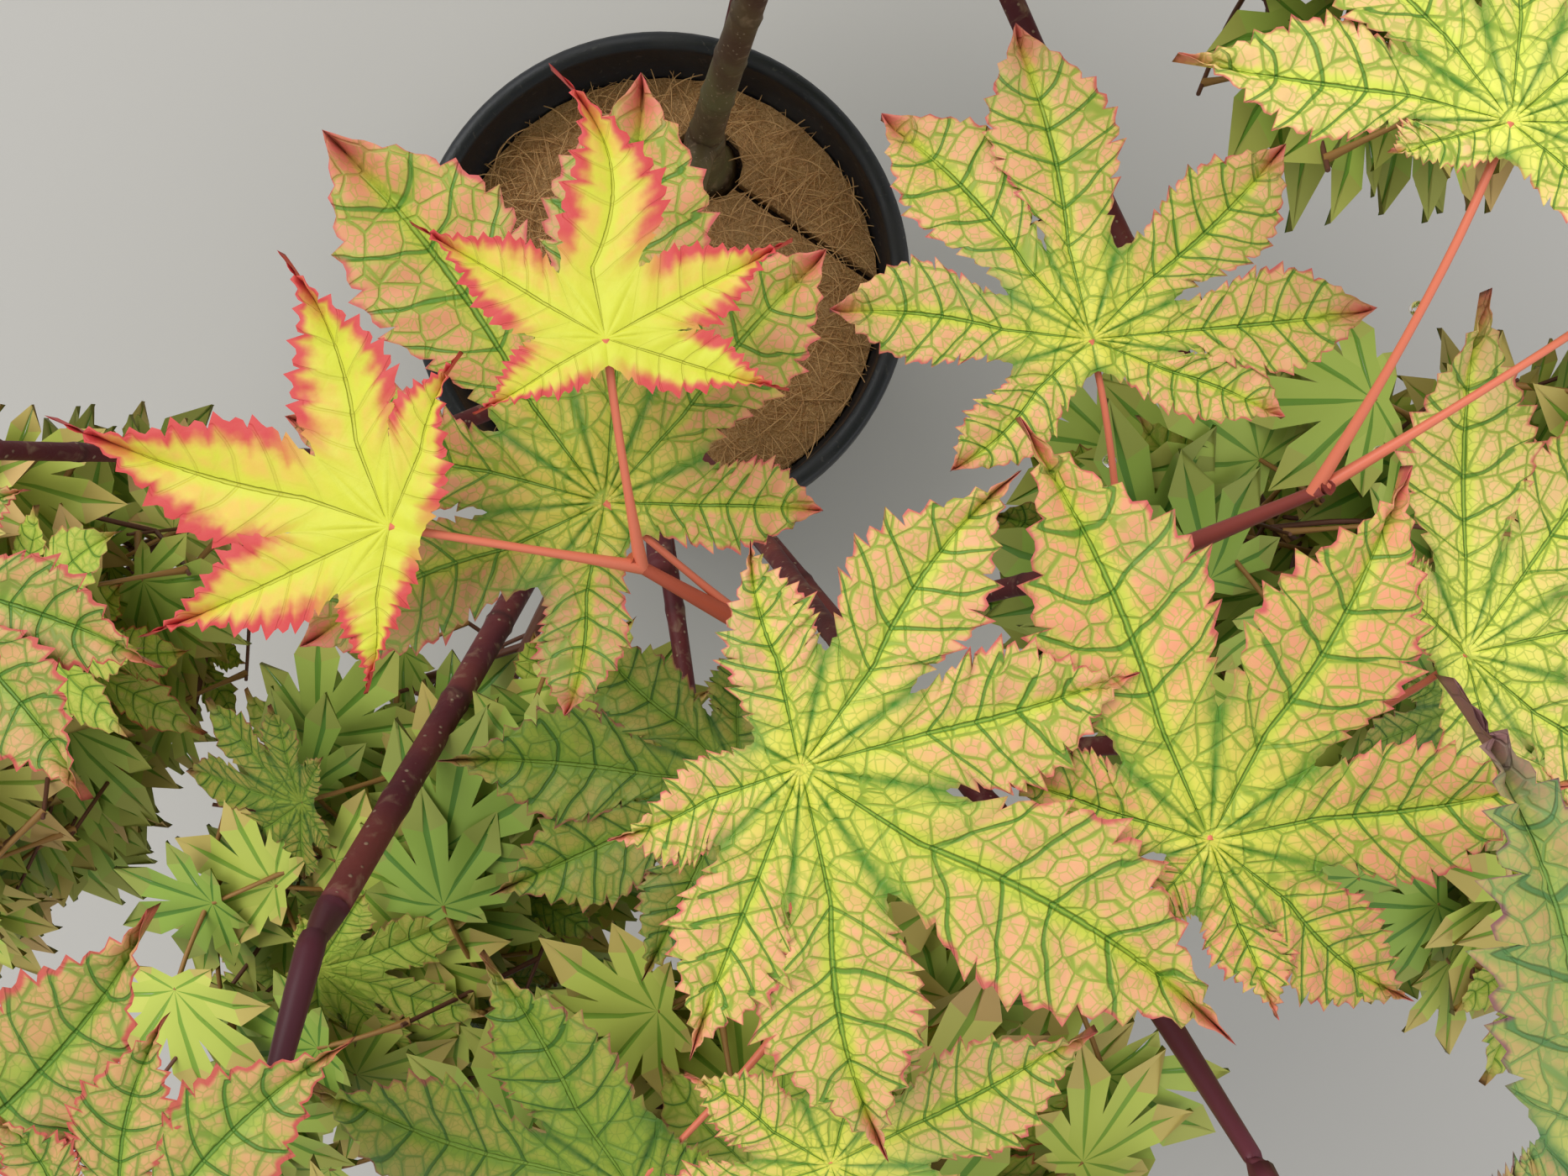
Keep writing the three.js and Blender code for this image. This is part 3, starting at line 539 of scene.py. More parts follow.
class Growing:
    """A mass as it grows: where it starts, its space, its random numbers and its leaves."""

    def __init__(self, mass, base, taken):
        self.base, self.leaf_size = base, mass.leaf
        self.space = Space(mass, taken)
        self.draw = seeded(mass.seed).__next__
        self.leaves = []

    def lengthened(self, shoot, rule):
        """Gives a shoot its next length, and says whether there was room for it."""
        start, rods = shoot.points[-1], None
        if start is self.base:
            rods = self.space.taken.without(start, 2 * CLEAR)
        else:
            wander = np.array([swing(self.draw) for _ in range(3)]) * WANDER
            shoot.way = unit(shoot.way + outward(start) * SPREAD + UP * LIFT + wander)
        end = start + shoot.way * rule.internode * within(*TWIG_LENGTHS, self.draw())
        tested = [start + (end - start) * share for share in TWIG_TESTS]
        has_room = self.space.fits(tested, shoot.radius + TWIG_MARGIN, rods)
        if has_room:
            shoot.points.append(end)
        return has_room

    def leaf_at(self, shoot, sideways, rule):
        """The first of a few leaves at a shoot's last node that has room."""
        node = shoot.points[-1]
        for _ in range(TRIES):
            leaf = grown_blade(shoot, sideways, self.leaf_size * rule.leaf_size, self.draw, rule)
            stalk = [node + (leaf.foot - node) * share for share in STALK_TESTS]
            if not self.space.fits(stalk, 2 * TWIG_MARGIN) or not is_spaced(leaf, self.leaves, rule):
                continue
            if self.space.fits(leaf.samples(), rule.touch):
                return leaf
        return None

    def grow(self, shoots, rule):
        """Lets shoots grow, with pairs of leaves, and returns those that found room."""
        grown = []
        while shoots:
            shoot = shoots.pop(0)
            for k in range(shoot.nodes):
                if not self.lengthened(shoot, rule):
                    break
                turn = (k % 2) * math.pi / 2 + TURN * swing(self.draw)
                across = crosswise(shoot.way, unit(np.cross(shoot.way, UP)), turn)
                below, node = shoot.points[-2:]
                for side, sideways in enumerate((across, across * -1)):
                    leaf = self.leaf_at(shoot, sideways, rule)
                    if leaf:
                        leaf.root = root_of(node, below, STALK_ROOTS[side])
                        leaf.spray = len(grown)
                        shoot.leafy = k + 2
                        self.leaves.append(leaf)
                    if shoot.is_main and k < shoot.nodes - 1:
                        root = root_of(node, below, SIDE_ROOTS[side])
                        shoots.append(side_shoot(shoot, root, sideways, rule))
            if len(shoot.points) > 1:
                grown.append(shoot)
        return grown


def side_shoot(shoot, root, sideways, rule):
    way = unit(sideways + shoot.way * SIDE_FORWARD + UP * SIDE_LIFT)
    return Shoot([root], way, shoot.radius * SIDE_RADIUS, rule.side_nodes)


def fine_shoots(shoots, draw):
    """Thin twigs that set out from below the nodes of the coarser ones, between their leaves."""
    found = []
    for shoot in shoots:
        for below, node in zip(shoot.points, shoot.points[1:]):
            level = unit(np.cross(node - below, UP) + 1e-6)
            along = unit(node - below)
            across = crosswise(along, level, math.pi * draw())
            for sign in (1, -1):
                way = unit(across * sign + along * SIDE_FORWARD + UP * SIDE_LIFT)
                root = root_of(node, below, FINE_ROOT)
                found.append(Shoot([root], way, FINE.radius, FINE_NODES))
    return found


def grown_mass(name, mass, curves, taken):
    """Twigs and leaves of a mass: the solids' own, then finer ones within the same reach."""
    curve = curves[mass.limb]
    growing = Growing(mass, curve.foot(), taken)
    main = Shoot([growing.base], curve.tangent(1), COARSE.radius, mass.nodes, is_main=True)
    shoots = growing.grow([main], COARSE)
    coarse = len(growing.leaves)
    growing.space.box = [np.array(corner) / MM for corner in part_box(name)]
    finer = shoots
    for every in NEAR_ROUNDS if name in NEAR_MASSES else FAR_ROUNDS:
        found = growing.grow(fine_shoots(finer, growing.draw)[::every], FINE)
        finer = [shoot.trimmed() for shoot in found if shoot.leafy]
        shoots = shoots + finer
    return shoots, growing.leaves, coarse


def measured_blade(entry):
    """A leaf that lies as in the photo, its lobes as shares of the longest one."""
    size = max(reach for _, reach in entry.lobes)
    normal = unit(np.array([*entry.lean, 1.0]))
    shares = [(degrees, reach / size) for degrees, reach in entry.lobes]
    foot = np.array(entry.foot, float)
    return Blade(foot, np.array([1.0, 0, 0]), normal, size, shares, MEASURED_DROOP, MEASURED_SINUS)


def keep_clear_of(leaf, node, taken):
    """Marks the room of a measured leaf's stalk and lobes as taken."""
    to_node = node - leaf.foot
    to_node = unit(to_node - np.dot(to_node, leaf.normal) * leaf.normal)
    taken.add(leaf.root, leaf.foot + to_node * STALK_END * leaf.size, STALK_ROOM)
    for degrees, reach in leaf.lobes:
        taken.add(leaf.foot, leaf.point(degrees, reach * leaf.size), LOBE_ROOM * leaf.size)


def measured_spray(spray, curves, taken):
    """A spray's twig and its leaves, each with the root of its stalk."""
    curve = curves[spray.limb]
    nodes = [curve.foot(), *(np.array(node, float) for node in spray.nodes)]
    points = [nodes[0], nodes[0] + curve.tangent(1) * STRAIGHT_ON, *nodes[1:]]
    radius = curve.radius(1)
    for a, b in zip(points, points[1:]):
        taken.add(a, b, radius)
    leaves = {}
    for name, entry in spray.leaves.items():
        k = entry.node
        node = nodes[k] if k else nodes[0] + (nodes[1] - nodes[0]) * LOW_NODE
        leaf = leaves[name] = measured_blade(entry)
        leaf.root = root_of(node, nodes[max(0, k - 1)], STALK_ROOTS[0])
        keep_clear_of(leaf, node, taken)
    return Shoot(points, curve.tangent(1), radius, len(spray.nodes)), leaves


# Node trees, for materials and for geometry
class Value:
    """A socket that takes part in sums, so that maths on it adds Math nodes."""

    def __init__(self, nodes, socket):
        self.nodes, self.socket = nodes, socket

    def math(self, operation, *others):
        inputs = dict(enumerate((self, *others)))
        return self.nodes.add("ShaderNodeMath", {"operation": operation}, inputs)

    def __add__(self, other):
        return self.math("ADD", other)

    def __mul__(self, other):
        return self.math("MULTIPLY", other)

    def __sub__(self, other):
        return self.math("SUBTRACT", other)

    def __rsub__(self, other):
        return self.nodes.add("ShaderNodeMath", {"operation": "SUBTRACT"}, {0: other, 1: self})

    __radd__, __rmul__ = __add__, __mul__

    def ramp(self, lowest, highest):
        """0 below the lowest value, 1 above the highest, smooth between them."""
        inputs = {"Value": self, "From Min": lowest, "From Max": highest}
        settings = {"interpolation_type": "SMOOTHSTEP"}
        return self.nodes.add("ShaderNodeMapRange", settings, inputs)

    def line(self, middle, width):
        """1 at a value and 0 further from it than a width."""
        return 1 - (self - middle).math("ABSOLUTE").ramp(0.35 * width, width)


class Nodes:
    """A node tree, and the one way in which nodes are added to it."""

    def __init__(self, tree):
        self.tree = tree

    def add(self, kind, settings=None, inputs=None, output=0):
        node = self.tree.nodes.new(kind)
        for name, setting in (settings or {}).items():
            setattr(node, name, setting)
        for key, given in (inputs or {}).items():
            if isinstance(given, Value):
                self.tree.links.new(given.socket, node.inputs[key])
            else:
                node.inputs[key].default_value = given
        return Value(self, node.outputs[output])

    def attribute(self, name):
        return self.add("ShaderNodeAttribute", {"attribute_name": name}, output="Fac")

    def noise(self, scale, detail=3, **inputs):
        at = self.add("ShaderNodeTexCoord", output="Object")
        sockets = {"Vector": at, "Scale": scale, "Detail": detail, **inputs}
        return self.add("ShaderNodeTexNoise", {"noise_dimensions": "3D"}, sockets, "Fac")

    def cells(self, scale, feature="DISTANCE_TO_EDGE"):
        """How far each place is from the edges of small cells, or from their middles by F1."""
        at = self.add("ShaderNodeTexCoord", output="Object")
        inputs = {"Vector": at, "Scale": scale}
        return self.add("ShaderNodeTexVoronoi", {"feature": feature}, inputs, "Distance")

    def mixed(self, share, first, second):
        """A colour between two, 6 and 7 being a Mix node's colour sockets."""
        settings = {"data_type": "RGBA"}
        return self.add("ShaderNodeMix", settings, {0: share, 6: first, 7: second}, 2)

    def layered(self, ground, *layers):
        """A ground colour under layers, each a mask and a colour of six digits."""
        for mask, code in layers:
            ground = self.mixed(mask, ground, colour(code))
        return ground

    def named(self, name, kind="FLOAT"):
        """What a geometry tree reads from its points or faces by name."""
        settings = {"data_type": kind}
        return self.add("GeometryNodeInputNamedAttribute", settings, {"Name": name})

    def copies(self, points, shapes, placing):
        """Copies of a collection's shapes, one at each point, made real."""
        settings = {"transform_space": "ORIGINAL"}
        inputs = {"Collection": shapes, "Separate Children": True, "Reset Children": True}
        shapes = self.add("GeometryNodeCollectionInfo", settings, inputs)
        inputs = {"Points": points, "Instance": shapes, "Pick Instance": True, **placing}
        laid = self.add("GeometryNodeInstanceOnPoints", inputs=inputs)
        return self.add("GeometryNodeRealizeInstances", inputs={"Geometry": laid})


def colour(code, strength=1.0):
    """A linear colour from six hexadecimal digits as on a screen."""
    parts = [int(code[i : i + 2], 16) / 255 for i in (0, 2, 4)]
    linear = [c / 12.92 if c < 0.04045 else ((c + 0.055) / 1.055) ** 2.4 for c in parts]
    return (*(c * strength for c in linear), 1.0)


class Finish:
    """A material on one Principled shader."""

    def __init__(self, name, base=(1, 1, 1, 1), roughness=0.5, **fixed):
        self.material = bpy.data.materials.new(name)
        self.material.use_nodes = True
        self.nodes = Nodes(self.material.node_tree)
        self.shader = self.material.node_tree.nodes["Principled BSDF"]
        self.set("Base Color", base)
        self.set("Roughness", roughness)
        for socket, value in fixed.items():
            self.set(socket.replace("_", " "), value)

    def set(self, socket, value):
        if isinstance(value, Value):
            self.material.node_tree.links.new(value.socket, self.shader.inputs[socket])
        else:
            self.shader.inputs[socket].default_value = value

    def bump(self, height, distance, strength=1.0):
        inputs = {"Height": height, "Distance": distance, "Strength": strength}
        self.set("Normal", self.nodes.add("ShaderNodeBump", inputs=inputs, output="Normal"))


# Meshes
def linked(name, data):
    """A new object in the scene."""
    piece = bpy.data.objects.new(name, data)
    bpy.context.scene.collection.objects.link(piece)
    return piece


def store(mesh, name, values, kind="FLOAT", domain="POINT"):
    """Puts a named value on each point or face of a mesh."""
    layer = mesh.attributes.new(name, kind, domain)
    field = "vector" if kind == "FLOAT_VECTOR" else "value"
    number = np.int32 if kind == "INT" else np.float32
    layer.data.foreach_set(field, np.asarray(values, number))


def mesh_piece(name, points, faces, materials=(), attributes=None, uv=None, smooth=True):
    """An object from points in millimetres, with values on its points and a map for baking."""
    mesh = bpy.data.meshes.new(name)
    mesh.from_pydata((np.asarray(points) * MM).tolist(), [], [list(face) for face in faces])
    for key, values in (attributes or {}).items():
        store(mesh, key, values)
    if uv is not None:
        layer = mesh.uv_layers.new(name="OFBake")
        corners = np.zeros(len(mesh.loops), np.int32)
        mesh.loops.foreach_get("vertex_index", corners)
        layer.data.foreach_set("uv", np.asarray(uv, np.float32)[corners].ravel())
    for material in materials:
        mesh.materials.append(material)
    if smooth:
        mesh.shade_smooth()
    return linked(name, mesh)


def settle(piece, slot, *nodes):
    """Puts a finished piece on the root body, and hides the nodes that it replaces. The slot is not
    used.
    """
    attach(piece, "root")
    if nodes:
        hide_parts(*nodes)


def evaluated_mesh(piece):
    """A plain mesh of a piece as its modifiers shape it."""
    bpy.context.view_layer.update()
    evaluated = piece.evaluated_get(bpy.context.evaluated_depsgraph_get())
    return bpy.data.meshes.new_from_object(evaluated)


def reshape(piece, kind, **settings):
    """Gives a piece the plain mesh that one modifier makes of it."""
    modifier = piece.modifiers.new("shaping", kind)
    for name, value in settings.items():
        setattr(modifier, name, value)
    mesh = evaluated_mesh(piece)
    piece.modifiers.remove(modifier)
    piece.data = mesh


def run_tree(tree, name, source, inputs):
    """Puts a geometry tree on an object, and returns the result as a plain mesh object."""
    modifier = source.modifiers.new("growth", "NODES")
    modifier.node_group = tree
    for item in tree.interface.items_tree:
        if item.item_type == "SOCKET" and item.in_out == "INPUT" and item.name in inputs:
            modifier[item.identifier] = inputs[item.name]
    mesh = evaluated_mesh(source)
    mesh.name = name
    source.modifiers.remove(modifier)
    bpy.data.objects.remove(source)
    return linked(name, mesh)


def geometry_tree(name, sockets):
    """An empty geometry tree with a Geometry input, further inputs by name, and an output."""
    tree = bpy.data.node_groups.new(name, "GeometryNodeTree")
    tree.interface.new_socket("Geometry", in_out="OUTPUT", socket_type="NodeSocketGeometry")
    tree.interface.new_socket("Geometry", in_out="INPUT", socket_type="NodeSocketGeometry")
    for label, kind in sockets.items():
        tree.interface.new_socket(label, in_out="INPUT", socket_type=f"NodeSocket{kind}")
    nodes = Nodes(tree)
    group = tree.nodes.new("NodeGroupInput")
    given = {label: Value(nodes, group.outputs[label]) for label in ["Geometry", *sockets]}
    return tree, nodes, given


def give_out(nodes, geometry):
    """Ends a geometry tree."""
    output = nodes.tree.nodes.new("NodeGroupOutput")
    nodes.tree.links.new(geometry.socket, output.inputs["Geometry"])


def shape_collection(name, pieces):
    """Moves shapes from the scene to a collection that only geometry trees use."""
    collection = bpy.data.collections.new(name)
    for piece in pieces:
        bpy.context.scene.collection.objects.unlink(piece)
        collection.objects.link(piece)
    return collection


# Leaf shapes
@dataclass
class Detail:
    """How a leaf is meshed, and how its lobes are cut."""

    inner: int  # rows beside the web
    outer: int  # rows along the free lobe
    columns: tuple  # shares of the way from midrib to edge
    tooth: float = 0.0  # length of a tooth, in leaf lengths
    veins: float = 6.5  # rows of raised cells along a lobe
    pucker: float = 0.0  # how high the cells rise, in leaf lengths
    widest: float = 1.06  # more where a lobe is widest nearer to its tip
    tail: float = 1.3  # more where its tip draws out thinner
    width: float = 0.17  # half the free lobe's width, as a share of its length

    def rows(self):
        """Shares along the web, and along the free lobe after it."""
        return np.linspace(0, 1, self.inner + 1), np.linspace(0, 1, self.outer + 1)[1:]


# Outlines of the top leaves, of the larger leaves of four masses and of the plain grown ones
TOP_COLUMNS = (0, 0.07, 0.25, 0.5, 0.75, 0.93, 1)
SHARP = Detail(5, 42, TOP_COLUMNS, tooth=0.015, pucker=0.012, widest=0.88, tail=1.55, width=0.162)
YOUNG = replace(SHARP, tooth=0.014, pucker=0.008, widest=0.66, tail=1.9, width=0.13)
HOOKED = replace(SHARP, tooth=0.021, widest=0.7, tail=1.8, width=0.125)
BLUNT = replace(SHARP, tooth=0.013, widest=1.3, tail=1.05, width=0.185)
LEAF_DETAILS = {
    "young_upper": YOUNG,
    "young_left": YOUNG,
    "near_right": HOOKED,
    "low_right": HOOKED,
    "broad_upper": BLUNT,
    "broad_left": BLUNT,
}
NEAR = Detail(3, 21, (0, 0.12, 0.5, 1), tooth=0.015, pucker=0.012)
PLAIN = Detail(1, 2, (0, 0.14, 1))
SLANT = 0.62  # where a side vein starts, as a share of how far along its end lies
TOOTH_ROWS = 3
BIG_TEETH, SMALL_TEETH = (1.5, 2.5), (0.3, 0.9)  # sizes, which follow each other by turns
TOOTH_LEAN = 0.8  # how far a tooth points forward, as a share of how far it stands out
FOLD = 0.05  # how far a lobe's edges rise above its midrib
BEND, CURL = 0.045, 0.12  # how far lobes swing aside and curl up or down by chance
SEAM = 1e-5  # metres within which the points of two lobes are joined
MAP_MARGIN = 0.02


def tooth_heights(reach, detail, draw):
    """How far each row of a free lobe stands out or in, by big and small teeth in turn."""
    _, outer = detail.rows()
    count = detail.outer // TOOTH_ROWS + 1
    sizes = [within(*(BIG_TEETH if k % 2 else SMALL_TEETH), draw()) for k in range(count)]
    sizes = np.repeat(sizes, TOOTH_ROWS)[: detail.outer]
    steps = np.arange(1, detail.outer + 1) % TOOTH_ROWS - 1
    teeth = detail.tooth * steps * (1 - outer**2.5)
    return teeth * sizes * math.sqrt(reach) * np.minimum(1, 0.35 + 1.6 * outer)


def lobe_edge(sinus_along, sinus_side, reach, detail, draw):
    """Where a half lobe's edge lies in each row: along the lobe, and out from its midrib.

    Past the web, whose width soon runs out, the free lobe swells and draws out to a tip.
    """
    inner, outer = detail.rows()
    teeth = tooth_heights(reach, detail, draw)
    web = sinus_side * (1 - outer) ** 3
    swell = np.clip(np.sin(math.pi * outer**detail.widest), 0, 1) ** detail.tail
    bulge = detail.width * reach * swell * (1.16 - 0.55 * outer**2)
    lean = TOOTH_LEAN * np.maximum(teeth, 0) * (outer < 1)
    free_along = sinus_along + (reach - sinus_along) * outer
    along = np.concatenate([inner * sinus_along, free_along + lean])
    aside = np.concatenate([inner * sinus_side, web + bulge + teeth * (outer < 1)])
    aside[-1] = 0
    return along, aside


def half_lobe(angle, reach, sinus, bend, free_from, detail, draw):
    """A grid over one half of a lobe, whose rows are its side veins from midrib to edge.

    Returns places in leaf lengths, how far along the lobe and across it each one is, how far
    out on its free part, and whether it is past the web between the lobes.
    """
    along_way = level_way(angle)
    side_way = np.array([-along_way[1], along_way[0]])
    sinus_along, sinus_side = sinus @ along_way, sinus @ side_way
    edge_along, edge_side = lobe_edge(sinus_along, abs(sinus_side), reach, detail, draw)
    inner, outer = detail.rows()
    start = SLANT * sinus_along
    rib = np.concatenate([inner * start, start + (reach - start) * outer])
    across = np.array(detail.columns)
    along = rib[:, None] * (1 - across) + edge_along[:, None] * across
    aside = (1 if sinus_side > 0 else -1) * edge_side[:, None] * across
    free = np.clip((along - free_from) / (reach - free_from), 0, 1)
    aside = aside + 4 * bend * reach * (free * free - free)
    flat = along[..., None] * along_way + aside[..., None] * side_way
    rows = np.repeat((rib / reach)[:, None], len(across), 1)
    loose = np.concatenate([0 * inner, np.minimum(1, 5 * outer)])
    loose = np.repeat(loose[:, None], len(across), 1)
    return flat, rows, np.broadcast_to(across, rows.shape), free**2, loose


def sinus_points(lobes, sinus):
    """The notch at a leaf's foot, the points between its lobes, and the notch again."""
    behind = math.radians((lobes[0][0] + lobes[-1][0]) / 2 - 180)
    back = [LEAF_NOTCH * level_way(behind)]
    for (a, reach), (b, next_reach) in zip(lobes, lobes[1:]):
        depth = sinus * math.sqrt((reach + next_reach) / 2)
        back.append(depth * level_way(math.radians((a + b) / 2)))
    return [*back, back[0]]


def leaf_grid(lobes, sinus, droop, detail, draw, bends=None):
    """A leaf lying flat round its foot in leaf lengths, its middle lobe along +X."""
    back = sinus_points(lobes, sinus)
    points, faces = [], []
    shares_of = {"along": [], "across": [], "lobe": [], "loose": []}
    for i, (degrees, reach) in enumerate(lobes):
        angle = math.radians(degrees)
        way = level_way(angle)
        bend = (bends or {}).get(i, BEND * swing(draw))
        curl = CURL * swing(draw)
        free_from = max(back[i] @ way, back[i + 1] @ way)
        for k, corner in enumerate((back[i], back[i + 1])):
            flat, rows, across, free, loose = half_lobe(
                angle, reach, corner, bend, free_from, detail, draw
            )
            spread = np.linalg.norm(flat, axis=2)
            height = FOLD * spread * np.sin(math.pi / 2 * across) - droop * spread**2
            height = height + curl * reach * free
            quilt = np.sin(math.pi * detail.veins * rows) ** 2 * np.sin(math.pi * across)
            height = height + detail.pucker * quilt
            faces.extend(grid_faces(len(points), *rows.shape, flip=k == 0))
            points.extend(np.dstack([flat, height]).reshape(-1, 3))
            for key, share in zip(shares_of, (rows, across, np.full(rows.shape, i), loose)):
                shares_of[key].extend(share.ravel())
    return np.array(points), faces, {key: np.array(share) for key, share in shares_of.items()}


def grid_faces(base, rows, columns, flip):
    """Faces of a grid of points, the first of which has the number base."""
    faces = []
    for i in range(rows - 1):
        for j in range(columns - 1):
            a = base + i * columns + j
            face = (a, a + columns, a + columns + 1, a + 1)
            faces.append(face[::-1] if flip else face)
    return faces


def placed(flat, leaf):
    """Points of a flat leaf, laid out on a blade's own axes, in millimetres."""
    axes = np.array([leaf.heading, leaf.left, leaf.normal])
    return leaf.foot + leaf.size * flat @ axes


def weld(piece):
    """Joins the seams between a leaf's lobes, and drops what has no area."""
    reshape(piece, "WELD", merge_threshold=SEAM)


def toothed_leaf(name, leaf, finish, slot, draw, detail=SHARP, bends=None):
    """A leaf with toothed edges, side veins and its own map for baking."""
    flat, faces, attributes = leaf_grid(leaf.lobes, leaf.sinus, leaf.droop, detail, draw, bends)
    low, high = flat[:, :2].min(0), flat[:, :2].max(0)
    uv = MAP_MARGIN + (1 - 2 * MAP_MARGIN) * (flat[:, :2] - low) / (high - low).max()
    piece = mesh_piece(name, placed(flat, leaf), faces, [finish.material], attributes, uv)
    weld(piece)
    settle(piece, slot)


# Finishes of the measured and the larger leaves
def side_veins(nodes, looks):
    """Masks of the side veins, which leave each midrib aslant, and of the green beside them."""
    along, across = nodes.attribute("along"), nodes.attribute("across")
    wander = nodes.noise(75, 2) - 0.5
    row = along * looks["veins"] - across * across * 0.4 + wander * 0.9
    row = (row + nodes.attribute("lobe") * 0.37).math("FRACT")
    fade = (1 - along.ramp(0.8, 0.97)) * along.ramp(0.06, 0.2)
    vein = row.line(0.5, 0.06) * fade * (0.3 + 0.7 * nodes.attribute("loose"))
    return vein, row.line(0.5, 0.1 + 0.34 * looks["halo"]) * fade


def vein_net(nodes, looks):
    """Masks of the net between the veins: its relief, its colour and the green beside it."""
    cells = nodes.cells(250)
    net = (1 - cells.ramp(0.01, 0.055)) * 0.9
    fine_net = (1 - nodes.cells(760).ramp(0.01, 0.1)) * 0.5
    web = net.math("MAXIMUM", fine_net) * looks["net"]
    return net, web, (1 - cells.ramp(0.03, 0.16)) * 0.6


def blade_rim(nodes, looks, fine):
    """A mask of the coloured edge and tip of each lobe."""
    along, across = nodes.attribute("along"), nodes.attribute("across")
    spread = across + (nodes.noise(330, 3) - 0.5) * looks["feather"]
    edge = spread.ramp(looks["rim"], looks["rim"] + looks["fall_off"]) * nodes.attribute("loose")
    tip = (along + (fine - 0.5) * 0.1).ramp(looks["tip"], looks["tip"] + 0.2)
    return edge.math("MAXIMUM", tip)


def blade_finish(name, looks):
    """A blade whose green veins run out from each lobe's midrib over a paler, blushing ground."""
    finish = Finish(name, Specular_IOR_Level=0.3)
    nodes = finish.nodes
    along, across = nodes.attribute("along"), nodes.attribute("across")
    fine = nodes.noise(650, 3)
    side_vein, side_halo = side_veins(nodes, looks)
    net, web, web_halo = vein_net(nodes, looks)
    rib = (1 - across.ramp(0.02, 0.045)) * (1 - along.ramp(0.6, 0.9))
    rib_halo = 1 - across.ramp(0.05, 0.12 + 0.3 * looks["halo"])
    core = (1 - across.ramp(0.004, 0.014)) * looks["core"]
    green = side_halo.math("MAXIMUM", rib_halo).math("MAXIMUM", web_halo) * looks["green"]
    streak = across.ramp(0.55, 1.0) * (1 - nodes.attribute("loose")) * (0.5 + fine)
    patch = (nodes.noise(60, 2) + 0.4 * fine).ramp(*looks["patch"])
    patch = patch * across.ramp(0.05, 0.3) * (1 - web * 0.6) * along.ramp(0.08, 0.4)
    cloud = nodes.noise(30, 2).ramp(0.52, 0.7) * looks["cloud"] * across.ramp(0.1, 0.5)
    base = nodes.layered(
        colour(looks["ground"]),
        (patch, looks["blush"]),
        (green, looks["wash"]),
        (web, looks["web"]),
        (streak * looks["streak"], looks["vein"]),
        (side_vein * looks["lines"], looks["vein"]),
        (cloud, looks["cloudy"]),
        (rib * looks["lines"], looks["rib"]),
        (core, looks["wash"]),
        (blade_rim(nodes, looks, fine) * looks["edge_depth"], looks["edge"]),
    )
    finish.set("Base Color", base)
    finish.set("Roughness", 0.4 + 0.2 * fine)
    relief = fine * 0.25 - side_vein * looks["lines"] - rib * 1.4 - net * (0.45 * looks["net"])
    finish.bump(relief, 0.0005, 0.7)
    return finish


def look(**changes):
    """The looks of an open, mature top leaf, and what other leaves change: those of another age or
    tone, and the shaded look, a darker copy that is painted shade.

    Colours of the ground and the blush on it, the veins and their net, the green beside them,
    the ribs, the edge and the cloudy places, and then how much of each shows and where.
    """
    looks = {
        "ground": "dbd658", "blush": "e8ab7c", "vein": "4b8224", "web": "7c9c2c",
        "wash": "b4c640", "rib": "54862a", "edge": "ca5058", "cloudy": "86a46c",
        "cloud": 0.2, "veins": 8.0, "halo": 0.4, "net": 0.85, "lines": 0.85, "green": 0.65,
        "rim": 0.91, "fall_off": 0.1, "feather": 0.26, "tip": 0.82, "edge_depth": 0.85,
        "patch": (0.36, 0.54), "streak": 0.85, "core": 0.5,
    }
    return {**looks, **changes}


LOOKS = {
    "broad": look(),
    "rosy": look(blush="ea9f76", patch=(0.3, 0.48), edge="cc4e58"),
    "bright": look(ground="e8e868", blush="eec484", patch=(0.42, 0.62), wash="c8d84c"),
    "behind": look(ground="cdc250", blush="dc976c", patch=(0.34, 0.52), wash="a2b63a"),
    "young": look(
        ground="d0d23e", blush="dfbc52", vein="b0a434", web="c6c23c", wash="ccce40",
        rib="98922a", edge="ca3644", rim=0.42, fall_off=0.44, feather=0.6, edge_depth=0.95,
        net=0.06, lines=0.22, cloud=0.0, green=0.5, tip=0.68, patch=(0.5, 0.8), streak=0.1,
        core=0.0,
    ),
    "lower": look(
        ground="bdc954", blush="c8c45c", vein="588a28", web="86a834", wash="94b238",
        rib="6c9834", edge="b0684c", cloud=0.0, net=0.5, streak=0.4, patch=(0.5, 0.8),
    ),
    "grey_green": look(
        ground="b2b658", blush="b89a60", vein="4a7840", web="688c46", wash="7e9c48",
        edge="7e4656", rib="688e3e", cloud=0.3, cloudy="6c8c66", tip=0.7, patch=(0.5, 0.75),
    ),
    "fresh": look(
        ground="c9d24e", blush="cdbd62", vein="5f8c26", web="8fae3c", wash="9cba3e",
        rib="74a036", edge="c0443c", cloud=0.0, net=0.6, rim=0.88, feather=0.16,
        patch=(0.5, 0.8),
    ),
    "edge": look(
        ground="a4b048", blush="cc9c66", vein="3f7420", web="5f8426", wash="809c36",
        rib="4c7a26", edge="c04448", cloud=0.0, net=0.7, rim=0.84, feather=0.2,
        patch=(0.4, 0.6),
    ),
    # A darker copy of the leaf colours: painted shade for leaves that lie under others
    "shaded": look(
        ground="8e9e34", blush="a89a48", vein="34601c", web="527826", wash="648a28",
        rib="7c9836", edge="984c44", net=0.6, patch=(0.5, 0.8),
    ),
}
LEAF_LOOKS = {
    "young_upper": "young",
    "young_left": "young",
    "broad_left": "behind",
    "broad_middle": "broad",
    "broad_right": "rosy",
    "broad_upper": "broad",
    "corner_upper": "bright",
    "corner_side": "rosy",
    "side_right": "bright",
    "near_right": "grey_green",
    "low_right": "grey_green",
    "low_middle": "broad",
    "shaded_left": "shaded",
    "deep_middle": "shaded",
    "fresh_left": "edge",
    "edge_left": "edge",
    "edge_upper": "edge",
}
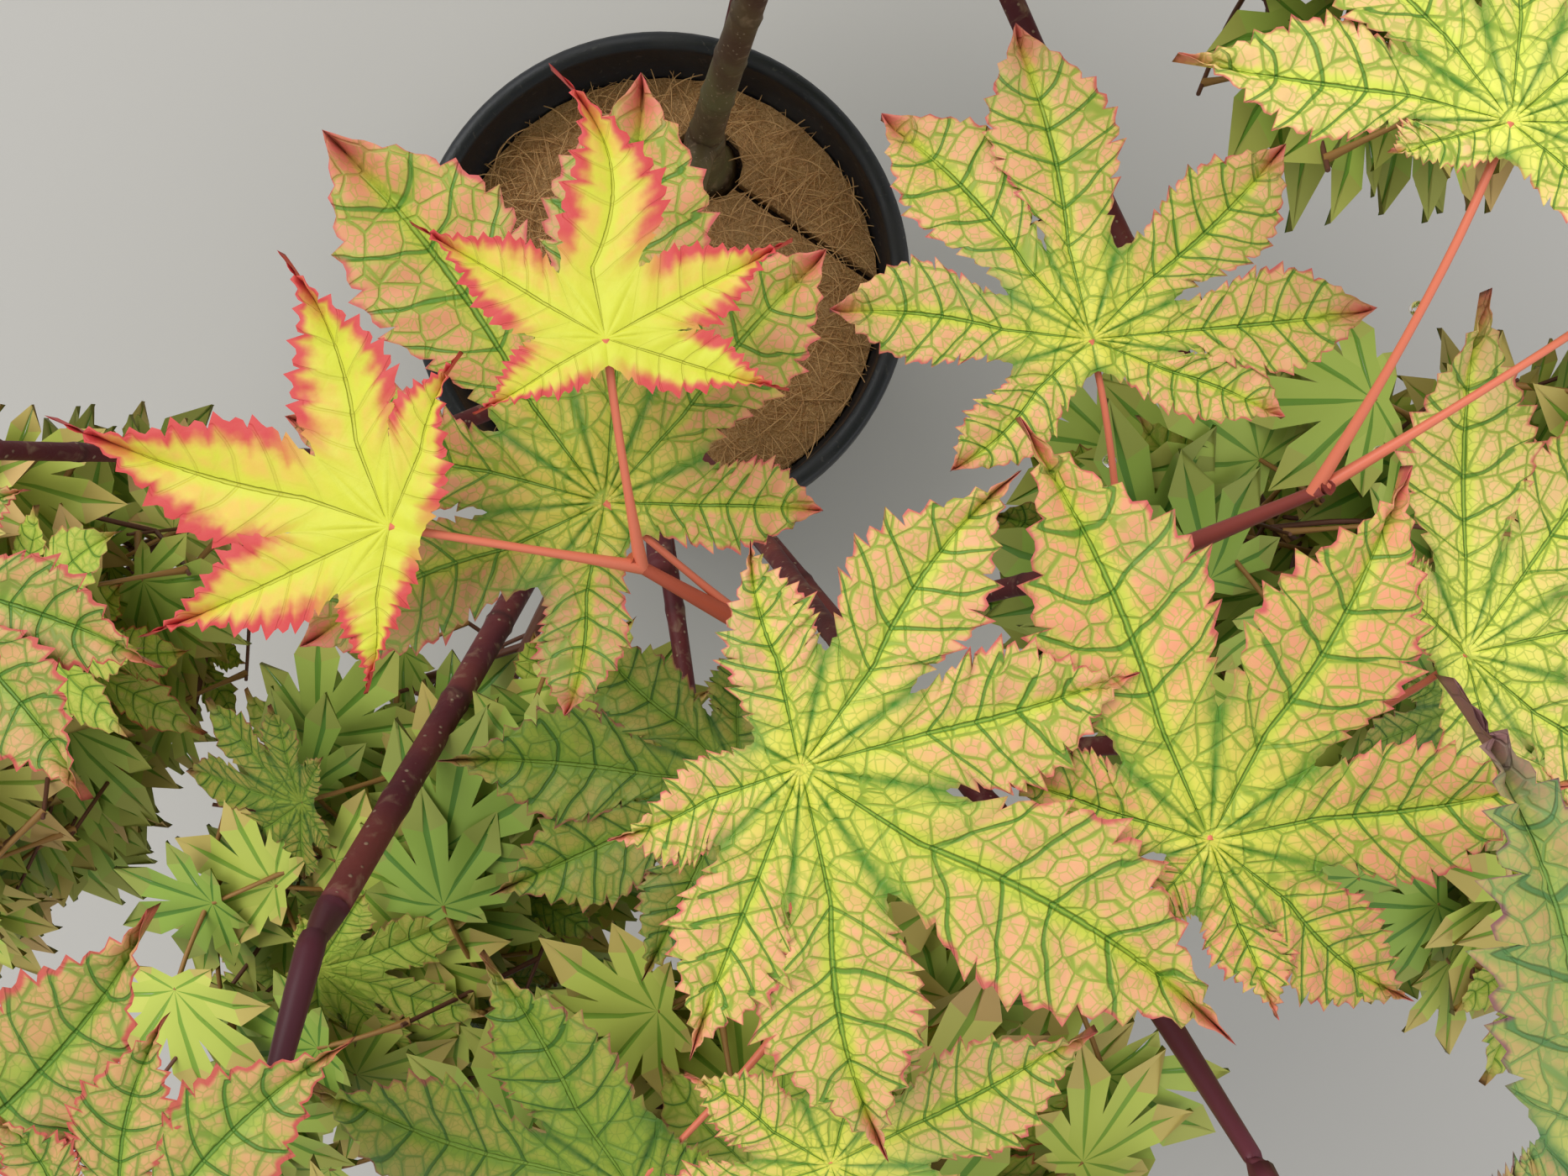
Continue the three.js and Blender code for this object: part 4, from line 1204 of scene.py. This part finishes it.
TWIG_COLOURS = {
    "spray_left": "b4553c",
    "spray_right": "843c34",
    "spray_east": "843c34",
    "spray_south_east": "66303a",
    "spray_south": "843c34",
    "spray_south_west": "552630",
    "spray_west": "552630",
}
# Lobes of the young leaves that bend as in the photo, by their number
LEAF_BENDS = {"young_upper": {2: 0.14}, "young_left": {1: 0.05, 2: -0.03}}

# Plain colours of the grown leaves, by tint: rib, ground, blush, edge
TINTS = {
    "cream": ("8ea83e", "d2d06c", "d6c474", "d2b070"),
    "green": ("6e9834", "acc056", "b6c65e", "b2b658"),
    "lime": ("84a83a", "c2ce5c", "ccd264", "ccb866"),
    "deep": ("5e8a32", "96b24a", "a2b852", "9ca64e"),
    "rose": ("98a040", "d6c46a", "d8ae76", "cc8a70"),
}
# The masses under the top sprays, whose larger leaves show their veins, and their looks
NEAR_MASSES = {
    "crown_low_west": ("lower", "fresh", "lower"),
    "crown_low_east": ("lower", "shaded", "lower"),
    "crown_low_south": ("fresh", "lower", "shaded"),
    "crown_inner_south": ("lower", "shaded", "lower"),
}
MASS_TINTS = {
    "crown_top": ("cream", "rose", "green"),
    "crown_north": ("cream", "lime", "rose"),
    "crown_north_west": ("green", "cream", "lime"),
    "crown_north_east": ("rose", "cream", "lime"),
    "crown_west": ("lime", "cream", "green"),
    "crown_east": ("green", "lime", "cream"),
    "crown_low_north": ("green", "lime", "cream"),
    "crown_low_west": ("lime", "green", "cream"),
    "crown_low_east": ("green", "lime", "deep"),
    "crown_low_south": ("lime", "green", "cream"),
    "crown_inner_south": ("deep", "green", "lime"),
}


# Finishes of wood, pot and filling
def bark_finish():
    """Brown-green bark at the foot that turns to dark red on thin wood, with pale specks."""
    finish = Finish("bark", roughness=0.6, Specular_IOR_Level=0.3)
    nodes = finish.nodes
    streak = nodes.noise(260, 4, Distortion=0.6)
    blotch = nodes.noise(45, 2).ramp(0.35, 0.7)
    specks = 1 - nodes.cells(420, "F1").ramp(0.1, 0.2)
    young = nodes.layered(colour("5a2229"), (blotch, "7a3a33"))
    old = nodes.layered(colour("5f4b36"), (blotch, "6f6a45"))
    base = nodes.layered(
        nodes.mixed(nodes.attribute("thin"), old, young),
        (streak.ramp(0.55, 0.75) * 0.5, "a58a6c"),
        (specks * 0.6, "b79f83"),
        (nodes.attribute("ring") * 0.8, "3a1d1b"),
    )
    finish.set("Base Color", base)
    finish.bump(streak + specks * 0.5, 0.0005, 0.7)
    return finish.material


def plastic_finish():
    """Black pot plastic, dusty and scuffed, splashed with dried compost."""
    finish = Finish("pot_plastic", Specular_IOR_Level=0.45)
    nodes = finish.nodes
    dust = nodes.noise(35, 5).ramp(0.45, 0.8)
    scuff = nodes.noise(240, 4, Distortion=1.5).ramp(0.62, 0.72)
    base = nodes.layered(colour("1c1f24"), (dust * 0.35, "4a453e"), (scuff * 0.3, "6b665c"))
    finish.set("Base Color", base)
    finish.set("Roughness", 0.38 + 0.35 * dust)
    finish.bump(nodes.noise(900, 2) + scuff * 0.6, 0.0002, 0.4)
    return finish.material


def compost_finish():
    """Dark, crumbly compost."""
    finish = Finish("compost", roughness=0.95)
    grain = finish.nodes.noise(420, 4)
    base = finish.nodes.layered(colour("1d140e"), (grain.ramp(0.35, 0.7), "4a3424"))
    finish.set("Base Color", base)
    finish.bump(grain, 0.002)
    return finish.material


def fibre_finish():
    """Pressed coir, darker where it is damp."""
    finish = Finish("fibre_mat", roughness=0.9)
    nodes = finish.nodes
    strands = nodes.noise(500, 4, Distortion=3.0)
    damp = nodes.noise(22, 3).ramp(0.4, 0.7)
    base = nodes.layered(
        colour("c48e52"), (strands.ramp(0.3, 0.7), "f6c88e"), (damp * 0.35, "986c40")
    )
    finish.set("Base Color", base)
    finish.bump(strands, 0.0015)
    return finish.material


def plain_finish(name, code, roughness=0.55):
    return Finish(name, colour(code), roughness, Specular_IOR_Level=0.3).material


# Wood
LIMB_SIDES = 14
LIMB_STEP = 1.6
NODE_SPACING = 26  # between the rings where leaves once sat
RING_WIDTH, SCAR_WIDTH = 1.3, 0.5
RING_SWELL, FIRST_RING = 0.11, 0.3
OLD_WOOD, YOUNG_WOOD = 5.6, 3.2  # radii at which bark is wholly brown, and wholly red
RIDGES = 4
STALK_ARCH, STALK_BENDS = 0.06, (0.35, 0.7)  # height of the arch, and its two shoulders
STALK_SINK = 0.2  # how far under its blade a stalk ends


def near_ring(place, width):
    """1 on a node ring and almost 0 two widths from it, for a place counted in rings."""
    return math.exp(-(((place % 1 - 0.5) * NODE_SPACING / width) ** 2))


def bark_rings(curve, name):
    """A limb with node rings, scars and ridges, as rings of points round its axis."""
    length = curve.length()
    rows = max(8, int(length / LIMB_STEP))
    draw = seeded(len(name) * 31 + int(length)).__next__
    ridges = [
        (int(2 + 3 * draw()), 2 * math.pi * draw(), 0.015 + 0.02 * draw()) for _ in range(RIDGES)
    ]
    points, thin, ring = [], [], []
    across = np.cross(curve.ends[2] - curve.ends[0], UP)
    across = unit(across) if np.linalg.norm(across) > 1 else np.array([1.0, 0, 0])
    for i in range(rows + 1):
        share = i / rows
        tangent = curve.tangent(share)
        side = unit(across - np.dot(across, tangent) * tangent)
        third = np.cross(tangent, side)
        radius = curve.radius(share)
        place = share * length / NODE_SPACING + FIRST_RING
        swell = RING_SWELL * near_ring(place, RING_WIDTH)
        for k in range(LIMB_SIDES):
            turn = 2 * math.pi * k / LIMB_SIDES
            rough = sum(a * math.sin(n * turn + phase + 3 * share) for n, phase, a in ridges)
            way = side * math.cos(turn) + third * math.sin(turn)
            points.append(curve.point(share) + way * (radius * (1 + rough + swell)))
        redness = min(1, max(0, (OLD_WOOD - radius) / (OLD_WOOD - YOUNG_WOOD)))
        thin += [redness] * LIMB_SIDES
        ring += [near_ring(place, SCAR_WIDTH)] * LIMB_SIDES
    return points, tube_faces(rows, LIMB_SIDES), {"thin": thin, "ring": ring}


def tube_faces(rows, sides):
    """Faces of a closed tube, from rings of points."""
    faces = [tuple(range(sides))[::-1]]
    for i in range(rows):
        for k in range(sides):
            a, b = i * sides + k, i * sides + (k + 1) % sides
            faces.append((a, b, b + sides, a + sides))
    faces.append(tuple(rows * sides + k for k in range(sides)))
    return faces


def stalk_points(leaf):
    """A stalk that leaves its twig, arches a little and reaches the foot of its blade."""
    span = leaf.foot - leaf.root
    arch = UP * STALK_ARCH * np.linalg.norm(span)
    shoulders = [leaf.root + span * share + arch for share in STALK_BENDS]
    return [leaf.root, *shoulders, leaf.foot - leaf.normal * STALK_SINK]


# Twigs, leaves and loose bits, by geometry trees
SHAPES = 6
REGIONS = ("Rib", "Ground", "Blush", "Edge")
RIB_ACROSS = 0.5  # faces that lie closer to a midrib than this belong to it
BLUSH_ALONG, EDGE_ALONG = 0.45, 0.75  # how far along a lobe its blush and its edge begin
CRUMBS, CRUMB_CORNERS = 5, 5
STRANDS, STRAND_ROWS, STRAND_RADIUS = 6, 5, 0.014
FACING_UP = 0.8  # the least upward part of a normal that counts as facing up
LEAF_SEED, CRUMB_SEED, STRAND_SEED = 300, 500, 600


def wire_source(paths):
    """A mesh of paths, with a radius on each point, for the twig tree."""
    points, edges, radii = [], [], []
    for path, widths in paths:
        for k, (point, width) in enumerate(zip(path, widths)):
            if k:
                edges.append((len(points) - 1, len(points)))
            points.append(point)
            radii.append(width * MM)
    mesh = bpy.data.meshes.new("paths")
    mesh.from_pydata((np.array(points) * MM).tolist(), edges, [])
    store(mesh, "width", radii)
    return linked("paths", mesh)


def twig_tree():
    """Paths become round twigs of the paths' own width."""
    kinds = {"Sides": "Int", "Steps": "Int", "Finish": "Material"}
    tree, nodes, given = geometry_tree("twigs", kinds)
    curves = nodes.add("GeometryNodeMeshToCurve", inputs={"Mesh": given["Geometry"]})
    settings = {"spline_type": "CATMULL_ROM"}
    curves = nodes.add("GeometryNodeCurveSplineType", settings, {"Curve": curves})
    inputs = {"Geometry": curves, "Resolution": given["Steps"]}
    curves = nodes.add("GeometryNodeSetSplineResolution", inputs=inputs)
    inputs = {"Resolution": given["Sides"], "Radius": 1.0}
    circle = nodes.add("GeometryNodeCurvePrimitiveCircle", inputs=inputs)
    inputs = {"Curve": curves, "Profile Curve": circle, "Scale": nodes.named("width")}
    tubes = nodes.add("GeometryNodeCurveToMesh", inputs={**inputs, "Fill Caps": True})
    tubes = nodes.add("GeometryNodeRealizeInstances", inputs={"Geometry": tubes})
    inputs = {"Geometry": tubes, "Material": given["Finish"]}
    give_out(nodes, nodes.add("GeometryNodeSetMaterial", inputs=inputs))
    return tree


def wired(tree, name, paths, finish, sides, steps=4):
    """Round twigs or stalks along paths, as one piece."""
    inputs = {"Sides": sides, "Steps": steps, "Finish": finish}
    return run_tree(tree, name, wire_source(paths), inputs)


def leaf_points(leaves):
    """A mesh of points that carry each leaf's turn, size and shape."""
    mesh = bpy.data.meshes.new("leaf_places")
    mesh.from_pydata([tuple(leaf.foot * MM) for leaf in leaves], [], [])
    turns = []
    for leaf in leaves:
        turns.extend(Matrix([leaf.heading, leaf.left, leaf.normal]).transposed().to_euler())
    store(mesh, "turn", turns, "FLOAT_VECTOR")
    store(mesh, "size", [leaf.size for leaf in leaves])
    store(mesh, "shape", np.arange(len(leaves)) % SHAPES, "INT")
    return linked("leaf_places", mesh)


def region_of(face, shares):
    """The number of a face's region on a plain leaf."""
    corners = list(face)
    if shares["across"][corners].max() < RIB_ACROSS:
        return REGIONS.index("Rib")
    row = shares["along"][corners].mean()
    if row > EDGE_ALONG:
        return REGIONS.index("Edge")
    return REGIONS.index("Blush" if row > BLUSH_ALONG else "Ground")


def leaf_shape(i):
    """A plain leaf of unit length, each face with its region."""
    draw = seeded(LEAF_SEED + i).__next__
    flat, faces, shares = leaf_grid(LEAF_LOBES, LEAF_SINUS, LEAF_DROOP, PLAIN, draw)
    shape = mesh_piece(f"leaf_shape_{i}", flat, faces)
    store(shape.data, "region", [region_of(face, shares) for face in faces], "INT", "FACE")
    weld(shape)
    return shape


def leaves_tree():
    """A leaf at each point, by the point's own shape, turn and size, with a finish by region."""
    kinds = {"Leaves": "Collection", **{region: "Material" for region in REGIONS}}
    tree, nodes, given = geometry_tree("leaves", kinds)
    placing = {
        "Instance Index": nodes.named("shape", "INT"),
        "Rotation": nodes.named("turn", "FLOAT_VECTOR"),
        "Scale": nodes.named("size"),
    }
    grown = nodes.copies(given["Geometry"], given["Leaves"], placing)
    region = nodes.named("region", "INT")
    for i, label in enumerate(REGIONS):
        settings = {"data_type": "INT", "operation": "EQUAL"}
        is_here = nodes.add("FunctionNodeCompare", settings, {2: region, 3: i})
        inputs = {"Geometry": grown, "Selection": is_here, "Material": given[label]}
        grown = nodes.add("GeometryNodeSetMaterial", inputs=inputs)
    give_out(nodes, grown)
    return tree


def scatter_tree(name):
    """Turned, resized copies of a few shapes, scattered over a surface."""
    kinds = {"Shapes": "Collection", "Number per square metre": "Float", "Seed": "Int"}
    kinds |= {"Smallest": "Float", "Largest": "Float", "Tilt": "Float", "Finish": "Material"}
    tree, nodes, given = geometry_tree(name, kinds)
    density, tilt = given["Number per square metre"], given["Tilt"]
    inputs = {"Mesh": given["Geometry"], "Density": density, "Seed": given["Seed"]}
    settings = {"distribute_method": "RANDOM"}
    points = nodes.add("GeometryNodeDistributePointsOnFaces", settings, inputs)
    low = nodes.add("ShaderNodeCombineXYZ", inputs={"X": tilt * -1, "Y": tilt * -1})
    high = nodes.add("ShaderNodeCombineXYZ", inputs={"X": tilt, "Y": tilt, "Z": 2 * math.pi})
    settings = {"data_type": "FLOAT_VECTOR"}
    turn = nodes.add("FunctionNodeRandomValue", settings, {0: low, 1: high, "Seed": 1})
    inputs = {2: given["Smallest"], 3: given["Largest"], "Seed": 2}
    size = nodes.add("FunctionNodeRandomValue", {"data_type": "FLOAT"}, inputs, 1)
    laid = nodes.copies(points, given["Shapes"], {"Rotation": turn, "Scale": size})
    inputs = {"Geometry": laid, "Material": given["Finish"]}
    give_out(nodes, nodes.add("GeometryNodeSetMaterial", inputs=inputs))
    return tree


def crumb(i):
    """An angular crumb of unit size, of a ring of corners between two tips."""
    draw = seeded(CRUMB_SEED + i).__next__
    corners = [(0, 0, -1), (0, 0, 1)]
    faces = []
    for k in range(CRUMB_CORNERS):
        turn = 2 * math.pi * (k + 0.4 * draw()) / CRUMB_CORNERS
        reach = 0.7 + 0.6 * draw()
        corners.append((*(reach * level_way(turn)), draw() - 0.5))
        a, b = 2 + k, 2 + (k + 1) % CRUMB_CORNERS
        faces += [(0, b, a), (1, a, b)]
    return mesh_piece(f"crumb_{i}", corners, faces, smooth=False)


def strand(i):
    """A curled fibre of unit length, a thin three-sided tube."""
    draw = seeded(STRAND_SEED + i).__next__
    bend, lift = 0.9 * draw() - 0.45, 0.1 + 0.15 * draw()
    points = []
    for k in range(STRAND_ROWS + 1):
        share = k / STRAND_ROWS
        middle = (share - 0.5, bend * share * (1 - share), lift * math.sin(math.pi * share))
        for side in range(3):
            aside, above = STRAND_RADIUS * level_way(2 * math.pi * side / 3)
            points.append(np.array(middle) + (0, aside, above))
    return mesh_piece(f"strand_{i}", points, tube_faces(STRAND_ROWS, 3))


def upward_copy(mesh):
    """An object of the upward faces of a mesh."""
    points = np.array([vertex.co for vertex in mesh.vertices]) / MM
    faces = [tuple(face.vertices) for face in mesh.polygons if face.normal.z > FACING_UP]
    return mesh_piece("surface", points, faces, smooth=False)


# Pot and what fills it
POT_HEIGHT, LIP_RADIUS, BASE_RADIUS, POT_FLOOR = 150, 95, 70, 3
POT_SIDES, BED_SIDES = 96, 72
DRAIN_COUNT, DRAIN_RADIUS, DRAIN_RING, DRAIN_SIDES = 6, 6, 50, 24
DRAIN_ENDS = (-5, 8)  # heights between which the holes are drilled
BED_RINGS = 40
BED_WAVES, BED_RISE, BED_SEED = 9, 0.9, 77
BED_EDGE = 15  # how much further out the bed reaches at its top than at its foot
BED_AIR, BED_DIP = 0.2, 0.6  # kept from the pot's wall, and below the solid's top
BED_CRUST = 5  # the depth under the top in which the compost is uneven


@dataclass
class Scatter:
    """How loose bits lie on a surface."""

    number: float  # to a square metre
    seed: int
    smallest: float
    largest: float
    tilt: float  # the most, in radians


CRUMB_SCATTER = Scatter(120000.0, 3, 0.5, 1.6, 1.5)
STRAND_SCATTER = Scatter(90000.0, 5, 7.0, 19.0, 0.16)


def pot_profile():
    """The pot's section, as radii and heights, from the middle of its base round to the inside."""
    foot = [(0, 0.6), (46, 0.6), (48, 0), (68.6, 0), (BASE_RADIUS, 1.2), (71.2, 9), (72.4, 10.2)]
    under_lip = [(87.4, 136.6), (92.3, 137.2), (92.8, 136.4), (93.6, 136), (94.4, 136.3)]
    lip_side = [(94.9, 137.4), (LIP_RADIUS, 146.6)]
    lip_top = [(94.4, 148.9), (93.2, 149.8), (91, POT_HEIGHT), (88.6, 149.8), (87.8, 149)]
    wall_inside = [(87.6, 147.4), (86.2, 134), (84.9, 133), (67.8, 4.2)]
    floor = [(66.4, POT_FLOOR), (0, POT_FLOOR)]
    return [*foot, *under_lip, *lip_side, *lip_top, *wall_inside, *floor]


def turned(name, profile, sides, materials):
    """A profile of radius and height turned round the Z axis, a radius of 0 being one point."""
    points, rings = [], []
    for radius, height in profile:
        ring = []
        for k in range(sides):
            turn = 2 * math.pi * k / sides
            if radius or not ring:
                points.append((radius * math.cos(turn), radius * math.sin(turn), height))
            ring.append(len(points) - 1)
        rings.append(ring)
    faces = []
    for below, above in zip(rings, rings[1:]):
        for k in range(sides):
            after = (k + 1) % sides
            corners = (below[k], below[after], above[after], above[k])
            faces.append(tuple(dict.fromkeys(corners)))
    return mesh_piece(name, points, faces, materials)


def drain_drills():
    """Round drills for the drain holes, as one object."""
    points, faces = [], []
    for i in range(DRAIN_COUNT):
        middle = DRAIN_RING * level_way(2 * math.pi * (i + 0.5) / DRAIN_COUNT)
        faces += [tuple(len(points) + v for v in face) for face in tube_faces(1, DRAIN_SIDES)]
        for height in DRAIN_ENDS:
            for k in range(DRAIN_SIDES):
                rim = middle + DRAIN_RADIUS * level_way(2 * math.pi * k / DRAIN_SIDES)
                points.append((*rim, height))
    return mesh_piece("drills", points, faces, smooth=False)


def build_pot():
    """The pot, with its drain holes drilled."""
    pot = turned("nursery_pot", pot_profile(), POT_SIDES, [plastic_finish()])
    drills = drain_drills()
    reshape(pot, "BOOLEAN", object=drills, operation="DIFFERENCE")
    bpy.data.objects.remove(drills)
    settle(pot, "pot", "pot")


def make_uneven(bed, top):
    """Raises and lowers the top of the compost in soft waves."""
    draw = seeded(BED_SEED).__next__
    waves = [(0.05 + 0.2 * draw(), 0.05 + 0.2 * draw(), 6 * draw()) for _ in range(BED_WAVES)]
    for vertex in bed.data.vertices:
        x, y, z = vertex.co / MM
        if z > top - BED_CRUST:
            swell = sum(math.sin(a * x + b * y + phase) for a, b, phase in waves) / len(waves)
            vertex.co.z += BED_RISE * swell * MM


def scattered(name, surface, shapes, scatter, finish):
    """Loose bits of a few shapes on the upward faces of a mesh, as one piece."""
    inputs = {
        "Shapes": shapes,
        "Number per square metre": scatter.number,
        "Seed": scatter.seed,
        "Smallest": scatter.smallest,
        "Largest": scatter.largest,
        "Tilt": scatter.tilt,
        "Finish": finish,
    }
    return run_tree(scatter_tree(name), name, upward_copy(surface), inputs)


def build_compost():
    """Uneven compost, and loose crumbs on it."""
    finish = compost_finish()
    low, high = (np.array(corner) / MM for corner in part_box("compost"))
    radii = np.linspace(0, high[0] - BED_AIR, BED_RINGS)
    profile = [(0, low[2]), (radii[-1] - BED_EDGE, low[2])]
    profile += [(radius, high[2] - BED_DIP) for radius in radii[::-1]]
    bed = turned("compost_bed", profile, BED_SIDES, [finish])
    make_uneven(bed, high[2])
    shapes = shape_collection("crumbs", [crumb(i) for i in range(CRUMBS)])
    crumbs = scattered("compost_crumbs", bed.data, shapes, CRUMB_SCATTER, finish)
    settle(bed, "compost", "compost")
    settle(crumbs, "compost")


def build_disc():
    """The mat of pressed fibres keeps its solid, and gets loose strands on top."""
    disc = frame["nodes"]["fibre_disc"]
    disc.data.materials.clear()
    disc.data.materials.append(fibre_finish())
    finish = plain_finish("loose_fibre", "eebe84", 0.9)
    shapes = shape_collection("strands", [strand(i) for i in range(STRANDS)])
    strands = scattered("fibre_strands", disc.data, shapes, STRAND_SCATTER, finish)
    settle(strands, "fibre_disc")


# Plant
KNOT = 2.4  # length over which a spray's twig swells below a node
KNOT_SWELL = 1.35
SLIM = 0.68  # a spray's twig above its foot, as a share of the limb's end
# Drops of water: how far along a leaf's stalk each hangs, and its radius
DROPS = {
    "corner_upper": (0.5, 0.9),
    "corner_side": (0.18, 0.8),
    "broad_upper": (0.45, 1.0),
    "broad_left": (0.9, 0.9),
}
DROP_ROWS = 10
TOP_SEED, MASS_SEED = 41, 43
TINTS_PER_MASS = 3


def build_limbs():
    """Each limb's wood, and its curve for what grows on it."""
    finish = bark_finish()
    curves = {}
    for name, limb in LIMBS.items():
        curve = curves[name] = Curve(limb, curves)
        points, faces, attributes = bark_rings(curve, name)
        piece = mesh_piece(f"{name}_wood", points, faces, [finish], attributes)
        settle(piece, "bark", name)
    return curves


def limb_rods(curves):
    """The limbs as straight lengths, which leaves keep clear of."""
    rods = Rods()
    for curve in curves.values():
        points = curve.points(LIMB_LENGTHS)
        for i, (a, b) in enumerate(zip(points, points[1:])):
            rods.add(a, b, curve.radius(i / LIMB_LENGTHS))
    return rods


def twig_paths(shoots):
    """Each shoot's points, with radii that thin out from node to node."""
    return [
        (shoot.points, [shoot.radius * THINNING**k for k in range(len(shoot.points))])
        for shoot in shoots
    ]


def stalk_paths(leaves):
    """Each leaf's stalk, thicker at its root."""
    thick, thin = STALK_RADII
    widths = (thick * 1.5, 0.5 * (thick + thin), thin, thin)
    return [(stalk_points(leaf), widths) for leaf in leaves]


def knotted_path(shoot):
    """A spray's twig, swollen at each of its nodes."""
    first, *nodes = shoot.points
    path, widths = [first], [shoot.radius]
    for k, (below, node) in enumerate(zip(shoot.points, nodes)):
        width = SLIM * shoot.radius * THINNING**k
        if np.linalg.norm(node - below) > 2 * KNOT:
            path.append(root_of(node, below, KNOT))
            widths.append(width)
        path.append(node)
        widths.append(KNOT_SWELL * width)
    return path, widths


def drop_points(place, radius):
    """The rings of a round drop from its top down, the end ones tiny."""
    points = []
    for i in range(DROP_ROWS + 1):
        polar = math.pi * i / DROP_ROWS
        flat = max(0.001, math.sin(polar)) * radius
        for j in range(2 * DROP_ROWS):
            ring = flat * level_way(math.pi * j / DROP_ROWS)
            points.append(place + (*ring, radius * math.cos(polar)))
    return points


def build_drops(leaves):
    """Drops of water that hang under a few of the stalks."""
    points, faces = [], []
    for label, (share, radius) in DROPS.items():
        path = stalk_points(leaves[label])
        k = min(2, int(share * 3))
        place = path[k] + (path[k + 1] - path[k]) * (3 * share - k) - UP * radius
        for face in tube_faces(DROP_ROWS, 2 * DROP_ROWS):
            faces.append(tuple(len(points) + v for v in face[::-1]))
        points += drop_points(place, radius)
    water = Finish("water", roughness=0.02, IOR=1.33, Transmission_Weight=1.0).material
    settle(mesh_piece("water_drops", points, faces, [water]), "top_foliage")


def build_sprays(curves, taken, tree, finishes):
    """The top sprays: measured leaves, and the twig and stalks that carry them."""
    stalk = plain_finish("coral_stalk", "e07a5c", 0.4)
    woods = {code: plain_finish(f"twig_{code}", code, 0.45) for code in TWIG_COLOURS.values()}
    draw = seeded(TOP_SEED).__next__
    every_leaf = {}
    for name, spray in SPRAYS.items():
        shoot, leaves = measured_spray(spray, curves, taken)
        every_leaf |= leaves
        for label, leaf in leaves.items():
            finish, bends = finishes[LEAF_LOOKS[label]], LEAF_BENDS.get(label)
            detail = LEAF_DETAILS.get(label, SHARP)
            toothed_leaf(f"leaf_{label}", leaf, finish, "top_foliage", draw, detail, bends)
        wood = woods[TWIG_COLOURS[name]]
        twig = wired(tree, f"{name}_twig", [knotted_path(shoot)], wood, sides=10)
        settle(twig, "top_foliage", name)
        stalks = wired(tree, f"{name}_stalks", stalk_paths(leaves.values()), stalk, sides=10)
        settle(stalks, "top_foliage")
    build_drops(every_leaf)


def tint_finishes():
    """A plain finish for each region of a grown leaf in each tint."""
    return {
        tint: {
            region: plain_finish(f"leaf_{tint}_{region.lower()}", code)
            for region, code in zip(REGIONS, codes)
        }
        for tint, codes in TINTS.items()
    }


def build_masses(curves, taken, trees, finishes):
    """The masses: grown twigs, larger leaves near the sprays, and leaves dealt out by tint."""
    shapes = shape_collection("leaf_shapes", [leaf_shape(i) for i in range(SHAPES)])
    tints = tint_finishes()
    twig = plain_finish("grown_twig", "6b4434", 0.55)
    stalk = plain_finish("grown_stalk", "a0763f", 0.5)
    draw = seeded(MASS_SEED).__next__
    for name, mass in MASSES.items():
        shoots, leaves, coarse = grown_mass(name, mass, curves, taken)
        larger = leaves[:coarse] if name in NEAR_MASSES else []
        for i, leaf in enumerate(larger):
            finish = finishes[NEAR_MASSES[name][i % TINTS_PER_MASS]]
            toothed_leaf(f"{name}_leaf_{i}", leaf, finish, "foliage", draw, detail=NEAR)
        tree = trees["twigs"]
        settle(wired(tree, f"{name}_twigs", twig_paths(shoots), twig, sides=6), "foliage", name)
        stalks = wired(tree, f"{name}_stalks", stalk_paths(leaves), stalk, sides=5, steps=2)
        settle(stalks, "foliage")
        for k, tint in enumerate(MASS_TINTS[name]):
            smaller = leaves[len(larger) :]
            dealt = [leaf for leaf in smaller if leaf.spray % TINTS_PER_MASS == k]
            if dealt:
                inputs = {"Leaves": shapes, **tints[tint]}
                tree, source = trees["leaves"], leaf_points(dealt)
                settle(run_tree(tree, f"{name}_{tint}_{k}", source, inputs), "foliage")


# Stage: a pale floor, soft light from above, and the camera that looks straight down
FLOOR_REACH, FLOOR_DEPTH = 4000, 0.2
LENS, SENSOR, CLIP = 27.03, 36, 0.01
SKY, SKY_STRENGTH = (0.95, 0.97, 1.0, 1.0), 0.62


def build_floor():
    """A floor that belongs to the picture alone."""
    corners = [(-1, -1), (1, -1), (1, 1), (-1, 1)]
    points = [(x * FLOOR_REACH, y * FLOOR_REACH, -FLOOR_DEPTH) for x, y in corners]
    finish = plain_finish("floor", "b9b6b0", 0.8)
    floor = mesh_piece("floor", points, [(0, 1, 2, 3)], [finish], smooth=False)


def area_light(name, place, power, width):
    """A square lamp that faces the plant's foot."""
    lamp = bpy.data.lights.new(name, "AREA")
    lamp.energy, lamp.size = power, width
    light = linked(name, lamp)
    light.location = place
    light.rotation_euler = (-light.location.normalized()).to_track_quat("-Z", "Y").to_euler()


def build_world():
    """Even, slightly blue light from all round."""
    world = bpy.data.worlds.new("studio")
    world.use_nodes = True
    sky = world.node_tree.nodes["Background"].inputs
    sky["Color"].default_value = SKY
    sky["Strength"].default_value = SKY_STRENGTH
    bpy.context.scene.world = world
    bpy.context.scene.view_settings.view_transform = "Standard"


def build_camera():
    camera = bpy.data.cameras.new("camera")
    camera.lens, camera.sensor_width, camera.clip_start = LENS, SENSOR, CLIP
    viewer = linked("camera", camera)
    viewer.location = tuple(EYE * MM)
    bpy.context.scene.camera = viewer


build_pot()
build_compost()
build_disc()
curves = build_limbs()
taken = limb_rods(curves)
trees = {"twigs": twig_tree(), "leaves": leaves_tree()}
finishes = {label: blade_finish(f"blade_{label}", looks) for label, looks in LOOKS.items()}
build_sprays(curves, taken, trees["twigs"], finishes)
build_masses(curves, taken, trees, finishes)

build_floor()
area_light("key_light", place=(-0.9, 0.8, 2.0), power=34, width=1.6)
area_light("fill_light", place=(1.4, -1.0, 1.4), power=8, width=2.0)
build_world()
build_camera()
